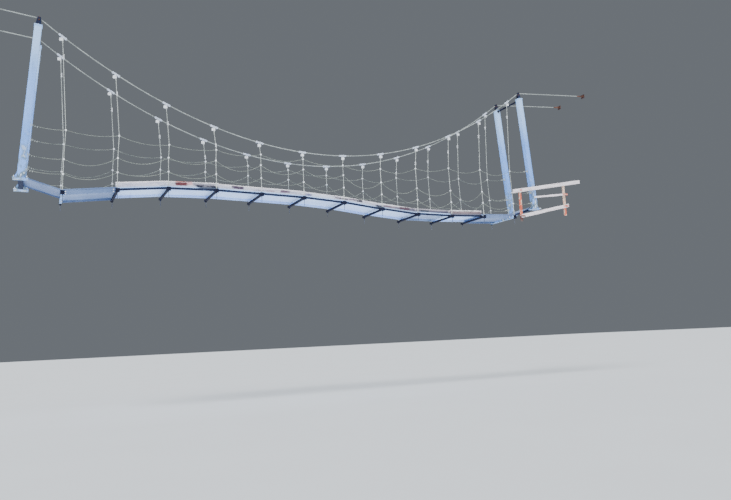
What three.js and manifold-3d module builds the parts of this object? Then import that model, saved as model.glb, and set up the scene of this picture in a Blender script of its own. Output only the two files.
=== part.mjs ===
// A rope suspension footbridge: two leaning steel towers, two main cables with backstays,
// hangers with sagging hand ropes, steel cross-beams and a sheet deck with timber toe boards.
// Millimetres, +X along the bridge, +Y away from the river-side view, +Z up.
// The origin is on the underside of the right tower's sill, midway between its legs.

import * as THREE from 'three';
import { mergeVertices } from 'three/addons/utils/BufferGeometryUtils.js';
import Module from 'manifold-3d';

const wasm = await Module();
wasm.setup();

// Driving dimensions of the whole bridge
const bay = 1350;
const firstBeam = -2;
const lastBeam = 9;
const footGap = 980;
const halfWidth = 665;
const gap = 0.3;

// Deck level: a long wave with its crest near the left end and its dip near the right one,
// and a small ripple on it, both counted in bays
const deckMean = -209;
const deckSwing = 210;
const deckCrest = 1.41;
const deckWave = 11.45;
const rippleSwing = 26;
const rippleCrest = 3.88;
const rippleWave = 3.97;

// Main cable: a parabola between the saddles and a rising backstay behind each tower
const cableLow = 1355;
const cableTop = 4410;
const towerLean = 355;
const cableRadius = 13;
const anchorReach = 2760;
const anchorLevel = 4700;

// Deck pieces; stringers and toe boards run between two of the beams, landing channels beyond them
const beamHeight = 60;
const beamWidth = 70;
const beamOverhang = 50;
const nearPlateWidth = 112;
const nearPlateHeight = 116;
const farPlateWidth = 84;
const farPlateHeight = 74;
const endPlateThickness = 12;
const stringerHeight = 65;
const stringerThickness = 10;
const sheetThickness = 35;
const deckHalf = 500;
const toeThickness = 45;
const edgeFirst = -1;
const edgeLast = 8;
const toePlanks = [
  { end: 1.08, height: 150 },
  { end: 3.08, height: 135 },
  { end: 4.4, height: 124 },
  { end: 7.05, height: 120 },
  { end: edgeLast, height: 132 },
];
const plankBite = 1;
const channelBelow = 25;
const channelAbove = 90;
const channelThickness = 12;
const sillHeight = 80;
const sillReach = 60;
const rampHalf = 500;
const seam = 1.5;
const edgeOver = 25;
const rampFlat = 45;

// Hangers: a T clamp on the cable above, a washer, a nut and a threaded end below the beam
const hangerRadius = 9;
const hangerLean = 45;
const clampLength = 230;
const clampSide = 44;
const stemLength = 100;
const stemThickness = 30;
const stemHeight = 110;
const stemBelow = 65;
const washerSide = 64;
const washerThickness = 10;
const nutRadius = 17;
const nutHeight = 20;
const threadBelow = 200;

// Hand ropes: each one's height over the beams by the distance from the middle, and its slack;
// the upper one climbs towards the towers, sooner at the right end
const ropeRadius = 6;
const topRopeLow = 1222;
const topRopeClimb = 470;
const { smoothstep } = THREE.MathUtils;
const climb = (d) => smoothstep(d, 0.5, 3.5) + smoothstep(-d, 3, 5.5);
const ropeLines = [
  { height: (d) => topRopeLow + topRopeClimb * climb(d), sag: 130, pull: 1 },
  { height: () => 897, sag: 270, pull: 0.35 },
  { height: () => 497, sag: 240, pull: 0.15 },
];
const slackLeft = 0.6;
const slackRight = 1.15;
const slackChange = 0.25;
const clipPull = 14;
const endRise = 60;
const endSag = 40;
const eyeThickness = 14;
const eyeWidth = 44;
const eyeHeight = 60;

// Towers: leaning legs on base plates with gussets, a cap plate, a crossbar and a saddle
const legSide = 180;
const plateX = 360;
const plateY = 300;
const plateThickness = 20;
const capThickness = 16;
const capBelowCable = 215;
const capX = 200;
const capY = 210;
const gussetHeight = 190;
const gussetReach = 70;
const gussetInset = 25;
const gussetThickness = 12;
const gussetSlant = 30;
const crossbarSide = 50;
const crossbarAlong = 4150;
const saddleLength = 150;
const saddleWidth = 76;
const saddleCover = 4;
const saddleHalfBend = 80;

// Rock anchors: a socket, a web and a plate on the rock face
const socketLength = 120;
const socketRadius = 24;
const webLength = 110;
const webThickness = 16;
const webHeight = 80;
const rockPlateSide = 150;
const rockPlateThickness = 20;
const rockPlateReach = 180;

// Approach fence on the river side of the right tower, its rails given from end to end
const postWidth = 90;
const postDepth = 50;
const railThickness = 45;
const fencePosts = [
  { x: -700, foot: -475, top: 680 },
  { x: 1410, foot: -170, top: 1050 },
];
const fenceRails = {
  fence_top_rail: { from: [-1040, 600], to: [2205, 1164], height: 140 },
  fence_middle_rail: { from: [-60, 440], to: [1440, 630], height: 70 },
  fence_bottom_board: { from: [-720, -295], to: [1560, 212], height: 130 },
};

const midBeam = (firstBeam + lastBeam) / 2;
const stationX = (n) => -footGap - (lastBeam - n) * bay;
const midX = stationX(midBeam);
const leftFootX = 2 * midX;
const halfSpan = -midX - towerLean;
const cableRise = (cableTop - cableLow) / halfSpan ** 2;
const wave = (n, crest, length) => Math.cos(2 * Math.PI * (n - crest) / length);
const deckLevel = (n) => (
  deckMean + deckSwing * wave(n, deckCrest, deckWave) + rippleSwing * wave(n, rippleCrest, rippleWave)
);
const cableLevel = (x) => cableLow + cableRise * (x - midX) ** 2;
const stations = (from, to) => Array.from({ length: to - from + 1 }, (_, i) => from + i);

const finishes = {
  legPaint: { color: 0xa3b8cc, roughness: 0.55, metalness: 0.25 },
  darkSteel: { color: 0x2c333d, roughness: 0.7, metalness: 0.5 },
  zincSheet: { color: 0xc3cde0, roughness: 0.5, metalness: 0.4 },
  wireRope: { color: 0xa9aca6, roughness: 0.5, metalness: 0.7 },
  rustySteel: { color: 0x7d4a36, roughness: 0.85, metalness: 0.3 },
  bleachedTimber: { color: 0xcbb5a4, roughness: 0.9, metalness: 0 },
  paleTimber: { color: 0xd8cdba, roughness: 0.9, metalness: 0 },
  redPaint: { color: 0xc0603c, roughness: 0.75, metalness: 0.1 },
};

// Solids and boolean helpers
function toSolid(geometry) {
  const plain = geometry.clone();
  plain.deleteAttribute('normal');
  plain.deleteAttribute('uv');
  const merged = mergeVertices(plain, 1e-3);
  const vertProperties = new Float32Array(merged.attributes.position.array);
  const triVerts = new Uint32Array(merged.index.array);
  return new wasm.Manifold(new wasm.Mesh({ numProp: 3, vertProperties, triVerts }));
}

function toGeometry(solid) {
  const mesh = solid.getMesh();
  const geometry = new THREE.BufferGeometry();
  geometry.setAttribute('position', new THREE.BufferAttribute(mesh.vertProperties, 3));
  geometry.setIndex(new THREE.BufferAttribute(mesh.triVerts, 1));
  geometry.computeVertexNormals();
  return geometry;
}

const join = (geometries) => geometries.map(toSolid).reduce((all, next) => all.add(next));

// A box from its size and its centre, turned about the Y axis when an angle is given
function box(sizeX, sizeY, sizeZ, x, y, z, turnY = 0) {
  const geometry = new THREE.BoxGeometry(sizeX, sizeY, sizeZ);
  geometry.rotateY(turnY);
  geometry.translate(x, y, z);
  return geometry;
}

// An upright or tilted round bar from its foot to its head
function bar(from, to, radius, sides) {
  const run = new THREE.Vector3().subVectors(to, from);
  const geometry = new THREE.CylinderGeometry(radius, radius, run.length(), sides);
  geometry.translate(0, run.length() / 2, 0);
  const turn = new THREE.Quaternion().setFromUnitVectors(new THREE.Vector3(0, 1, 0), run.normalize());
  geometry.applyQuaternion(turn);
  geometry.translate(from.x, from.y, from.z);
  return geometry;
}

// A route through given points, one straight step between each pair
class Route extends THREE.Curve {
  constructor(points) {
    super();
    this.points = points;
  }

  getPoint(t, target = new THREE.Vector3()) {
    const last = this.points.length - 1;
    const place = Math.min(Math.max(t, 0), 1) * last;
    const step = Math.min(Math.floor(place), last - 1);
    return target.lerpVectors(this.points[step], this.points[step + 1], place - step);
  }

  getPointAt(u, target) {
    return this.getPoint(u, target);
  }

  getTangentAt(u, target) {
    return this.getTangent(u, target);
  }
}

// A tube of few sides along a route
function tube(points, radius, sides) {
  const ring = stations(0, sides - 1).map((i) => {
    const angle = (i + 0.5) * 2 * Math.PI / sides;
    return new THREE.Vector2(radius * Math.cos(angle), radius * Math.sin(angle));
  });
  return new THREE.ExtrudeGeometry(new THREE.Shape(ring), {
    steps: points.length - 1,
    extrudePath: new Route(points),
  });
}

// An outline drawn in X and Z, given its width along Y from yLow
function sideways(outline, yLow, width) {
  const shape = new THREE.Shape(outline.map(([x, z]) => new THREE.Vector2(x, z)));
  const geometry = new THREE.ExtrudeGeometry(shape, { depth: width, bevelEnabled: false });
  geometry.rotateX(Math.PI / 2);
  geometry.translate(0, yLow + width, 0);
  return geometry;
}

// The deck's line of beam levels: level over each beam and straight between them
function deckLine(from, to, over) {
  const flat = beamWidth / 2;
  const ends = (n, before, after) => [
    [stationX(n) - before, deckLevel(n)],
    [stationX(n) + after, deckLevel(n)],
  ];
  return [
    ...ends(from, over, flat),
    ...stations(from + 1, to - 1).flatMap((n) => ends(n, flat, flat)),
    ...ends(to, flat, over),
  ];
}

// The part of a line of points between two places on X
function between(line, xLow, xHigh) {
  const levelAt = (x) => {
    const i = Math.max(1, line.findIndex(([after]) => after >= x));
    const [x1, z1] = line[i - 1];
    const [x2, z2] = line[i];
    return z1 + (z2 - z1) * (x - x1) / (x2 - x1);
  };
  const inside = line.filter(([x]) => x > xLow && x < xHigh);
  return [[xLow, levelAt(xLow)], ...inside, [xHigh, levelAt(xHigh)]];
}

// A piece of one thickness whose underside is a line of points raised by a height
function layer(line, above, thickness, yLow, width) {
  const low = line.map(([x, z]) => [x, z + above]);
  const high = low.map(([x, z]) => [x, z + thickness]).reverse();
  return sideways([...low, ...high], yLow, width);
}

const bridge = new THREE.Group();

function addPiece(name, geometry, finish, parent = bridge) {
  const mesh = new THREE.Mesh(geometry, new THREE.MeshStandardMaterial(finishes[finish]));
  mesh.name = name;
  parent.add(mesh);
  return mesh;
}

// Main cables: one side's route from the left anchor over both saddles to the right one
function cableRoute(y) {
  const slope = 2 * cableRise * halfSpan;
  const backSlope = (anchorLevel - cableTop) / (anchorReach + towerLean);
  const bendSteps = 4;
  const halfBays = lastBeam - firstBeam;
  const top = new THREE.Vector2(-towerLean, cableTop);
  const bend = new THREE.QuadraticBezierCurve(
    new THREE.Vector2(top.x - saddleHalfBend, top.y - saddleHalfBend * slope),
    top,
    new THREE.Vector2(top.x + saddleHalfBend, top.y + saddleHalfBend * backSlope),
  ).getPoints(bendSteps);
  const rightHalf = [
    ...stations(1, halfBays).map((i) => {
      const x = stationX(midBeam + i / 2);
      return new THREE.Vector2(x, cableLevel(x));
    }),
    ...bend,
    new THREE.Vector2(anchorReach / 2, cableTop + backSlope * (anchorReach / 2 + towerLean)),
    new THREE.Vector2(anchorReach, anchorLevel),
  ];
  const leftHalf = rightHalf.map((p) => new THREE.Vector2(2 * midX - p.x, p.y)).reverse();
  const middle = new THREE.Vector2(midX, cableLevel(midX));
  return [...leftHalf, middle, ...rightHalf].map((p) => new THREE.Vector3(p.x, y, p.y));
}

const cableSides = 8;
const cableBore = (y) => toSolid(tube(cableRoute(y), cableRadius + 2 * gap, cableSides));

// One tower stands at its foot and leans towards the span; the left one is the right one turned round
const lean = Math.atan2(towerLean, cableTop);
const cableDistance = Math.hypot(towerLean, cableTop);
const capTop = cableDistance - capBelowCable;
const alongLeg = (distance) => [-Math.sin(lean) * distance, Math.cos(lean) * distance];

function towerLeg() {
  const shaftLength = capTop - capThickness / 2 - plateThickness / 2;
  const [shaftX, shaftZ] = alongLeg(plateThickness / 2 + shaftLength / 2);
  const [topX, topZ] = alongLeg(capTop - capThickness / 2);
  const gusset = [
    [-legSide / 2 - gussetReach, plateThickness / 2],
    [legSide / 2 + gussetReach, plateThickness / 2],
    [legSide / 2 - gussetSlant, gussetHeight],
    [-legSide / 2, gussetHeight],
  ];
  return join([
    box(legSide, legSide, shaftLength, shaftX, 0, shaftZ, -lean),
    box(plateX, plateY, plateThickness, 0, 0, plateThickness / 2),
    box(capX, capY, capThickness, topX, 0, topZ, -lean),
    sideways(gusset, gussetInset - legSide / 2, gussetThickness),
    sideways(gusset, legSide / 2 - gussetInset - gussetThickness, gussetThickness),
  ]);
}

function saddleBlock(y) {
  const height = cableDistance + saddleCover - capTop - gap;
  const [x, z] = alongLeg(capTop + gap + height / 2);
  const block = toSolid(box(saddleLength, saddleWidth, height, x, y, z, -lean));
  return block.subtract(cableBore(y));
}

function rockAnchor(y) {
  const slope = (anchorLevel - cableTop) / (anchorReach + towerLean);
  const behind = (reach) => new THREE.Vector3(anchorReach + reach, y, anchorLevel + slope * reach);
  const end = behind(socketLength);
  return join([
    bar(behind(gap), end, socketRadius, 10),
    box(webLength, webThickness, webHeight, end.x, y, end.z),
    box(rockPlateThickness, rockPlateSide, rockPlateSide, behind(rockPlateReach).x, y, end.z),
  ]);
}

function tower(side, group) {
  const facing = side === 'right' ? 1 : -1;
  for (const [place, y] of [['near', -halfWidth * facing], ['far', halfWidth * facing]]) {
    const leg = addPiece(`${side}_tower_${place}_leg`, toGeometry(towerLeg()), 'legPaint', group);
    leg.position.y = y;
    addPiece(`${side}_tower_${place}_saddle`, toGeometry(saddleBlock(y)), 'darkSteel', group);
    addPiece(`${side}_${place}_anchor`, toGeometry(rockAnchor(y)), 'rustySteel', group);
  }

  const inside = 2 * (halfWidth - legSide / 2 - gap);
  const [barX, barZ] = alongLeg(crossbarAlong);
  const crossbar = box(crossbarSide, inside, crossbarSide, 0, 0, 0, -lean);
  addPiece(`${side}_tower_crossbar`, crossbar, 'darkSteel', group).position.set(barX, 0, barZ);

  const sillLength = 2 * (halfWidth - plateY / 2 - gap);
  const sill = box(2 * sillReach, sillLength, sillHeight, 0, 0, sillHeight / 2);
  addPiece(`${side}_tower_sill`, sill, 'darkSteel', group);
}

const rightTower = new THREE.Group();
tower('right', rightTower);
bridge.add(rightTower);

const leftTower = new THREE.Group();
tower('left', leftTower);
leftTower.rotation.z = Math.PI;
leftTower.position.x = leftFootX;
bridge.add(leftTower);

for (const [place, y] of [['near', -halfWidth], ['far', halfWidth]]) {
  addPiece(`${place}_main_cable`, tube(cableRoute(y), cableRadius, cableSides), 'wireRope');
}

// Cross-beams with a large near plate and a small far one, and a washer, a nut and a threaded end
// under each hanger
function crossBeam() {
  const half = halfWidth + beamOverhang;
  const under = -beamHeight / 2;
  const bite = 1;
  const length = 2 * (half - endPlateThickness + bite);
  const atPlate = half - endPlateThickness / 2;
  const endPlates = [
    box(nearPlateWidth, endPlateThickness, nearPlateHeight, 0, -atPlate, 0),
    box(farPlateWidth, endPlateThickness, farPlateHeight, 0, atPlate, 0),
  ];
  const nutTop = under - washerThickness + 2 * bite;
  const nutFoot = nutTop - nutHeight;
  const fittings = [-halfWidth, halfWidth].flatMap((y) => {
    const at = (z) => new THREE.Vector3(0, y, z);
    return [
      box(washerSide, washerSide, washerThickness, 0, y, under + bite - washerThickness / 2),
      bar(at(nutFoot), at(nutTop), nutRadius, 6),
      bar(at(under - threadBelow), at(nutFoot + bite), hangerRadius, 8),
    ];
  });
  return join([box(beamWidth, length, beamHeight, 0, 0, 0), ...endPlates, ...fittings]);
}

for (const n of stations(firstBeam, lastBeam)) {
  const finish = n < edgeFirst || n > edgeLast ? 'legPaint' : 'darkSteel';
  const beam = addPiece(`cross_beam_${n - firstBeam + 1}`, toGeometry(crossBeam()), finish);
  beam.position.set(stationX(n), 0, deckLevel(n));
}

// Deck: stringers on the beams, one floor panel a bay, timber toe boards along both edges
const stringerAbove = beamHeight / 2 + gap;
const sheetAbove = stringerAbove + stringerHeight + gap;
const toeAbove = sheetAbove + sheetThickness + gap;

const edgeLine = deckLine(edgeFirst, edgeLast, edgeOver);
const edgeEnd = edgeLine[edgeLine.length - 1][0];

// A toe board: planks of several heights end to end
function toeBoard(yLow) {
  let start = edgeLine[0][0];
  const planks = toePlanks.map(({ end, height }) => {
    const stop = end === edgeLast ? edgeEnd : stationX(end);
    const run = between(edgeLine, start, Math.min(stop + plankBite, edgeEnd));
    start = stop;
    return layer(run, toeAbove, height, yLow, toeThickness);
  });
  return join(planks);
}

for (const [place, edge] of [['near', -1], ['far', 1]]) {
  const inward = (width) => (edge < 0 ? -deckHalf : deckHalf - width);
  const stringerSide = [inward(stringerThickness), stringerThickness];
  const stringer = layer(edgeLine, stringerAbove, stringerHeight, ...stringerSide);
  addPiece(`${place}_stringer`, stringer, 'darkSteel');
  addPiece(`${place}_toe_board`, toGeometry(toeBoard(inward(toeThickness))), 'bleachedTimber');
}

// A floor panel lies on the stringers; where these are missing a body below it stands on the beams
function deckPanel(n) {
  const line = deckLine(n, n + 1, -seam);
  const sheet = layer(line, sheetAbove, sheetThickness, -deckHalf, 2 * deckHalf);
  if (n >= edgeFirst && n < edgeLast) {
    return sheet;
  }
  const bodyHalf = deckHalf - stringerThickness - gap;
  const bodyHeight = stringerHeight + gap + sheetThickness / 2;
  return toGeometry(join([layer(line, stringerAbove, bodyHeight, -bodyHalf, 2 * bodyHalf), sheet]));
}

for (const n of stations(firstBeam, lastBeam - 1)) {
  addPiece(`deck_sheet_${n - firstBeam + 1}`, deckPanel(n), 'zincSheet');
}

// Landing channels: plain plates between the last two beams at each end, beside the panel's edges
for (const [side, n] of [['left', firstBeam], ['right', lastBeam - 1]]) {
  const fromBeam = beamWidth / 2 + gap;
  const line = [
    [stationX(n) + fromBeam, deckLevel(n)],
    [stationX(n + 1) - fromBeam, deckLevel(n + 1)],
  ];
  for (const [place, yLow] of [['near', -deckHalf - gap - channelThickness], ['far', deckHalf + gap]]) {
    const channel = layer(line, -channelBelow, channelBelow + channelAbove, yLow, channelThickness);
    addPiece(`${side}_${place}_landing_channel`, channel, 'legPaint');
  }
}

// Landing plates: a foot bar on the last beam, then up to the sill and level across it
const sillTop = sillHeight + gap;
const rampFoot = (n) => deckLevel(n) + sheetAbove;
const footWidth = beamWidth / 2 - seam;
const rightRamp = [
  [stationX(lastBeam) + seam, rampFoot(lastBeam)],
  [stationX(lastBeam) + rampFlat, rampFoot(lastBeam)],
  [-sillReach, sillTop],
  [sillReach, sillTop],
];
const leftRamp = [
  [leftFootX - sillReach, sillTop],
  [leftFootX + sillReach, sillTop],
  [stationX(firstBeam) - rampFlat, rampFoot(firstBeam)],
  [stationX(firstBeam) - seam, rampFoot(firstBeam)],
];
for (const [side, line, n] of [['right', rightRamp, lastBeam], ['left', leftRamp, firstBeam]]) {
  const outwards = side === 'right' ? 1 : -1;
  const footX = stationX(n) + outwards * (seam + footWidth / 2);
  const footLow = deckLevel(n) + stringerAbove;
  const footHeight = stringerHeight + gap + sheetThickness / 2;
  const plate = join([
    layer(line, 0, sheetThickness, -rampHalf, 2 * rampHalf),
    box(footWidth, 2 * rampHalf - 2 * seam, footHeight, footX, 0, footLow + footHeight / 2),
  ]);
  addPiece(`${side}_landing_plate`, toGeometry(plate), 'zincSheet');
}

// Side nets: hangers with T clamps on the cable, and three slack hand ropes clipped to them
function hangerRoute(n, y) {
  const away = Math.max(-1, Math.min(1, (n - midBeam) / 2.5));
  const headX = stationX(n) + hangerLean * away;
  const head = new THREE.Vector3(headX, y, cableLevel(headX));
  const foot = new THREE.Vector3(stationX(n), y, deckLevel(n) + beamHeight / 2 + gap);
  const clips = ropeLines.map((line) => {
    const z = deckLevel(n) + line.height(n - midBeam);
    const clip = new THREE.Vector3().lerpVectors(foot, head, (z - foot.z) / (head.z - foot.z));
    clip.x -= clipPull * (n - midBeam) * line.pull;
    return clip;
  });
  return [head, ...clips, foot];
}

// A hand rope's slack in each bay: more to the right, and uneven from bay to bay
function slackShare(i, row) {
  const place = i / (lastBeam - firstBeam - 1);
  return (slackLeft + (slackRight - slackLeft) * place) * (1 + slackChange * Math.sin(2.1 * i + row));
}

function slackRope(from, to, depth) {
  const steps = 5;
  const points = stations(0, steps).map((i) => {
    const t = i / steps;
    const point = new THREE.Vector3().lerpVectors(from, to, t);
    point.z -= depth * 4 * t * (1 - t);
    return point;
  });
  return tube(points, ropeRadius, 5);
}

function hangerWithClamp(points) {
  const [head, ...below] = points;
  const tilt = -Math.atan(2 * cableRise * (head.x - midX));
  const top = head.clone().setZ(head.z - stemBelow);
  return [
    tube([top, ...below], hangerRadius, 6),
    box(clampLength, clampSide, clampSide, head.x, head.y, head.z, tilt),
    box(stemLength, stemThickness, stemHeight, head.x, head.y, head.z - stemBelow),
  ];
}

function sideNet(y) {
  const hangers = stations(firstBeam, lastBeam).map((n) => hangerRoute(n, y));
  const toFace = (legSide + eyeThickness) / 2 + gap;
  const legFace = (z) => -Math.tan(lean) * z - toFace / Math.cos(lean);
  const parts = hangers.flatMap(hangerWithClamp);
  ropeLines.forEach((line, row) => {
    const clips = hangers.map((points) => points[row + 1]);
    for (const i of stations(0, clips.length - 2)) {
      parts.push(slackRope(clips[i], clips[i + 1], line.sag * slackShare(i, row)));
    }
    const lastClip = clips[clips.length - 1];
    const rightEye = new THREE.Vector3(0, y, lastClip.z + endRise);
    rightEye.x = legFace(rightEye.z);
    const leftEye = new THREE.Vector3(0, y, clips[0].z + endRise);
    leftEye.x = leftFootX - legFace(leftEye.z);
    parts.push(slackRope(lastClip, rightEye, endSag));
    parts.push(slackRope(leftEye, clips[0], endSag));
    parts.push(box(eyeThickness, eyeWidth, eyeHeight, rightEye.x, y, rightEye.z, -lean));
    parts.push(box(eyeThickness, eyeWidth, eyeHeight, leftEye.x, y, leftEye.z, lean));
  });
  return toGeometry(join(parts).subtract(cableBore(y)));
}

addPiece('near_side_net', sideNet(-halfWidth), 'wireRope');
addPiece('far_side_net', sideNet(halfWidth), 'wireRope');

// Approach fence: rails on the outer face of the near leg and of two posts on the bank
const fenceY = -halfWidth - legSide / 2 - gap;

function rail({ from, to, height }) {
  const edge = (side) => [from, to].map(([x, z]) => [x, z + side * height / 2]);
  const outline = [...edge(-1), ...edge(1).reverse()];
  return sideways(outline, fenceY - railThickness, railThickness);
}

fencePosts.forEach(({ x, foot, top }, i) => {
  const centreY = fenceY + gap + postDepth / 2;
  const post = box(postWidth, postDepth, top - foot, x, centreY, (top + foot) / 2);
  addPiece(`fence_post_${i + 1}`, post, 'redPaint');
});

for (const [name, line] of Object.entries(fenceRails)) {
  addPiece(name, rail(line), 'paleTimber');
}

export default bridge;
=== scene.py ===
# Rope suspension footbridge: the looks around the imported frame.
# Metres, +X along the bridge, +Y away from the river-side view, +Z up.

import math

import bmesh
import bpy
from mathutils import Matrix, Vector, noise


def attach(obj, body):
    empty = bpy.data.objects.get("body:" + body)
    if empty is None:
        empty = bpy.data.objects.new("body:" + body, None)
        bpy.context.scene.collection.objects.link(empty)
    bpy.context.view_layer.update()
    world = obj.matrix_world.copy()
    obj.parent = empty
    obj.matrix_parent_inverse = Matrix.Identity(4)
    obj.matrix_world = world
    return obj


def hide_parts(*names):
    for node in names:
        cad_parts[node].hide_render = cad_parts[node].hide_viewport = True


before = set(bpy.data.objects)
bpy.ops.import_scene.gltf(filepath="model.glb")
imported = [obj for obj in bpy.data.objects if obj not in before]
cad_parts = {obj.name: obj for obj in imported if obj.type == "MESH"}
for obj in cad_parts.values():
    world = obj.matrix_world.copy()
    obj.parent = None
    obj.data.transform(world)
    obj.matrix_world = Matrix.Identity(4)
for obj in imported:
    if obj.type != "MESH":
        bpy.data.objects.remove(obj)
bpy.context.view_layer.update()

scene = bpy.context.scene

# Driving dimensions, the same as in the solids
BAY = 1.35
FIRST, LAST = -2, 9
FOOT_GAP = 0.98
HALF_WIDTH = 0.665
DECK_MEAN, DECK_WAVES = -0.209, ((0.210, 1.41, 11.45), (0.026, 3.88, 3.97))
CABLE_LOW, CABLE_TOP, TOWER_LEAN = 1.355, 4.41, 0.355
CABLE_RADIUS = 0.013
ANCHOR_REACH, ANCHOR_LEVEL = 2.76, 4.70
BEAM_HEIGHT, BEAM_WIDTH, BEAM_OVERHANG = 0.060, 0.070, 0.050
NEAR_PLATE, FAR_PLATE, END_PLATE_THICKNESS = (0.112, 0.116), (0.084, 0.074), 0.012
STRINGER_HEIGHT, STRINGER_THICKNESS = 0.065, 0.010
SHEET_THICKNESS, DECK_HALF, RAMP_FLAT, SEAM, HEM_DEPTH = 0.035, 0.500, 0.045, 0.0015, 0.0015
TOE_THICKNESS, EDGE_FIRST, EDGE_LAST, EDGE_OVER = 0.045, -1, 8, 0.025
TOE_PLANKS = ((1.08, 0.150), (3.08, 0.135), (4.4, 0.124), (7.05, 0.120), (EDGE_LAST, 0.132))
CHANNEL_BELOW, CHANNEL_ABOVE, CHANNEL_THICKNESS = 0.025, 0.090, 0.012
SILL_HEIGHT, SILL_REACH = 0.080, 0.060
HANGER_RADIUS, ROPE_RADIUS, HANGER_LEAN, CLIP_PULL = 0.009, 0.006, 0.045, 0.014
LEG_SIDE, PLATE_X, PLATE_Y, PLATE_THICKNESS, CAP_BELOW = 0.180, 0.360, 0.300, 0.020, 0.215
GAP = 0.0003

# Levels and places worked out from them
BEAM_TOP = BEAM_HEIGHT / 2
STRINGER_ABOVE = BEAM_TOP + GAP
SHEET_ABOVE = STRINGER_ABOVE + STRINGER_HEIGHT + GAP
TOE_ABOVE = SHEET_ABOVE + SHEET_THICKNESS + GAP
SILL_TOP = SILL_HEIGHT + GAP
BEAMS = range(FIRST, LAST + 1)
MID_BEAM = (FIRST + LAST) / 2
LEAN = math.atan2(TOWER_LEAN, CABLE_TOP)
CABLE_DISTANCE = math.hypot(TOWER_LEAN, CABLE_TOP)
CAP_TOP = CABLE_DISTANCE - CAP_BELOW


def station_x(n):
    return -FOOT_GAP - (LAST - n) * BAY


MID_X = station_x(MID_BEAM)
LEFT_FOOT_X = 2 * MID_X
CABLE_RISE = (CABLE_TOP - CABLE_LOW) / (-MID_X - TOWER_LEAN) ** 2
BACK_SLOPE = (ANCHOR_LEVEL - CABLE_TOP) / (ANCHOR_REACH + TOWER_LEAN)
SIDES = (("near", -HALF_WIDTH), ("far", HALF_WIDTH))
UP, DOWN, AHEAD, AWAY, RIVERWARDS = (0, 0, 1), (0, 0, -1), (1, 0, 0), (0, 1, 0), (0, -1, 0)


def deck_level(n):
    waves = (swing * math.cos(math.tau * (n - crest) / wave) for swing, crest, wave in DECK_WAVES)
    return DECK_MEAN + sum(waves)


def cable_level(x):
    return CABLE_LOW + CABLE_RISE * (x - MID_X) ** 2


# Node trees: one method adds any node, and maths on sockets is written as expressions
class Value:
    """A socket of a node tree."""

    def __init__(self, graph, socket):
        self.graph = graph
        self.socket = socket

    def maths(self, operation, *others):
        return self.graph.node("ShaderNodeMath", {"operation": operation}, [self, *others])

    def __add__(self, other):
        return self.maths("ADD", other)

    __radd__ = __add__

    def __sub__(self, other):
        return self.maths("SUBTRACT", other)

    def __rsub__(self, other):
        return self * -1.0 + other

    def __mul__(self, other):
        return self.maths("MULTIPLY", other)

    __rmul__ = __mul__

    def within(self, low, high, soft):
        """1 between two limits and 0 beyond them, with soft steps."""
        return self.rise(low - soft, low + soft) * self.rise(high + soft, high - soft)

    def rise(self, low, high):
        """0 at low, 1 at high and a smooth step between them, whichever is the greater."""
        limits = {"Value": self, "From Min": low, "From Max": high}
        return self.graph.node("ShaderNodeMapRange", {"interpolation_type": "SMOOTHSTEP"}, limits)


class Graph:
    """A node tree of either kind."""

    def __init__(self, tree):
        self.tree = tree

    def node(self, kind, settings=None, inputs=(), output=0):
        """Adds a node, makes its settings, feeds its sockets and returns one of its outputs."""
        node = self.tree.nodes.new(kind)
        for key, value in (settings or {}).items():
            setattr(node, key, value)
        for key, value in inputs.items() if isinstance(inputs, dict) else enumerate(inputs):
            if isinstance(value, Value):
                self.tree.links.new(value.socket, node.inputs[key])
            else:
                node.inputs[key].default_value = value
        return Value(self, node.outputs[output]) if len(node.outputs) else None


def shade(colour):
    """A colour as seen on a screen, 0 to 255 a channel, as linear light."""
    linear = [c / 255 / 12.92 if c < 11 else ((c / 255 + 0.055) / 1.055) ** 2.4 for c in colour]
    return (*linear, 1.0)


class Finish(Graph):
    """A procedural material on object coordinates, its colour laid on in coats."""

    def __init__(self, name, turn=0.0):
        self.material = bpy.data.materials.new(name)
        self.material.use_nodes = True
        super().__init__(self.material.node_tree)
        self.tree.nodes.clear()
        self.colour = None
        self.place = self.node("ShaderNodeTexCoord", output="Object")
        if turn:
            self.place = self.node("ShaderNodeMapping", {}, {0: self.place, 2: (0.0, turn, 0.0)})

    def axis(self, index):
        return self.node("ShaderNodeSeparateXYZ", {}, [self.place], index)

    def bays(self):
        """Where a point is along the bridge, in bays."""
        return self.axis(0) * (1 / BAY) + (FOOT_GAP / BAY + LAST)

    def noise(self, scale, stretch=(1, 1, 1), detail=4.0, distortion=0.0):
        place = self.node("ShaderNodeVectorMath", {"operation": "MULTIPLY"}, [self.place, stretch])
        inputs = {"Vector": place, "Scale": scale, "Detail": detail, "Distortion": distortion}
        return self.node("ShaderNodeTexNoise", {}, inputs)

    def cells(self, scale):
        """A random number for each cell of a crystal pattern."""
        colour = self.node("ShaderNodeTexVoronoi", {}, {"Vector": self.place, "Scale": scale}, "Color")
        return self.node("ShaderNodeSeparateColor", {}, [colour])

    def mix(self, factor, first, second):
        """Two colours mixed, each a socket or a colour as seen on a screen."""
        first, second = (shade(c) if isinstance(c, tuple) else c for c in (first, second))
        return self.node("ShaderNodeMix", {"data_type": "RGBA"}, {0: factor, 6: first, 7: second}, 2)

    def coat(self, mask, colour):
        """Lays a colour over the last ones, as far as the mask says."""
        self.colour = self.mix(mask, self.colour, colour)

    def surface(self, roughness, height=None, depth=0.001, metallic=0.0, gloss=0.5):
        inputs = {"Base Color": self.colour, "Roughness": roughness, "Metallic": metallic,
                  "Specular IOR Level": gloss}
        if height:
            inputs["Normal"] = self.node("ShaderNodeBump", {}, {"Distance": depth, "Height": height})
        shader = self.node("ShaderNodeBsdfPrincipled", {}, inputs, "BSDF")
        self.node("ShaderNodeOutputMaterial", {}, {"Surface": shader})
        return self.material


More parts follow.
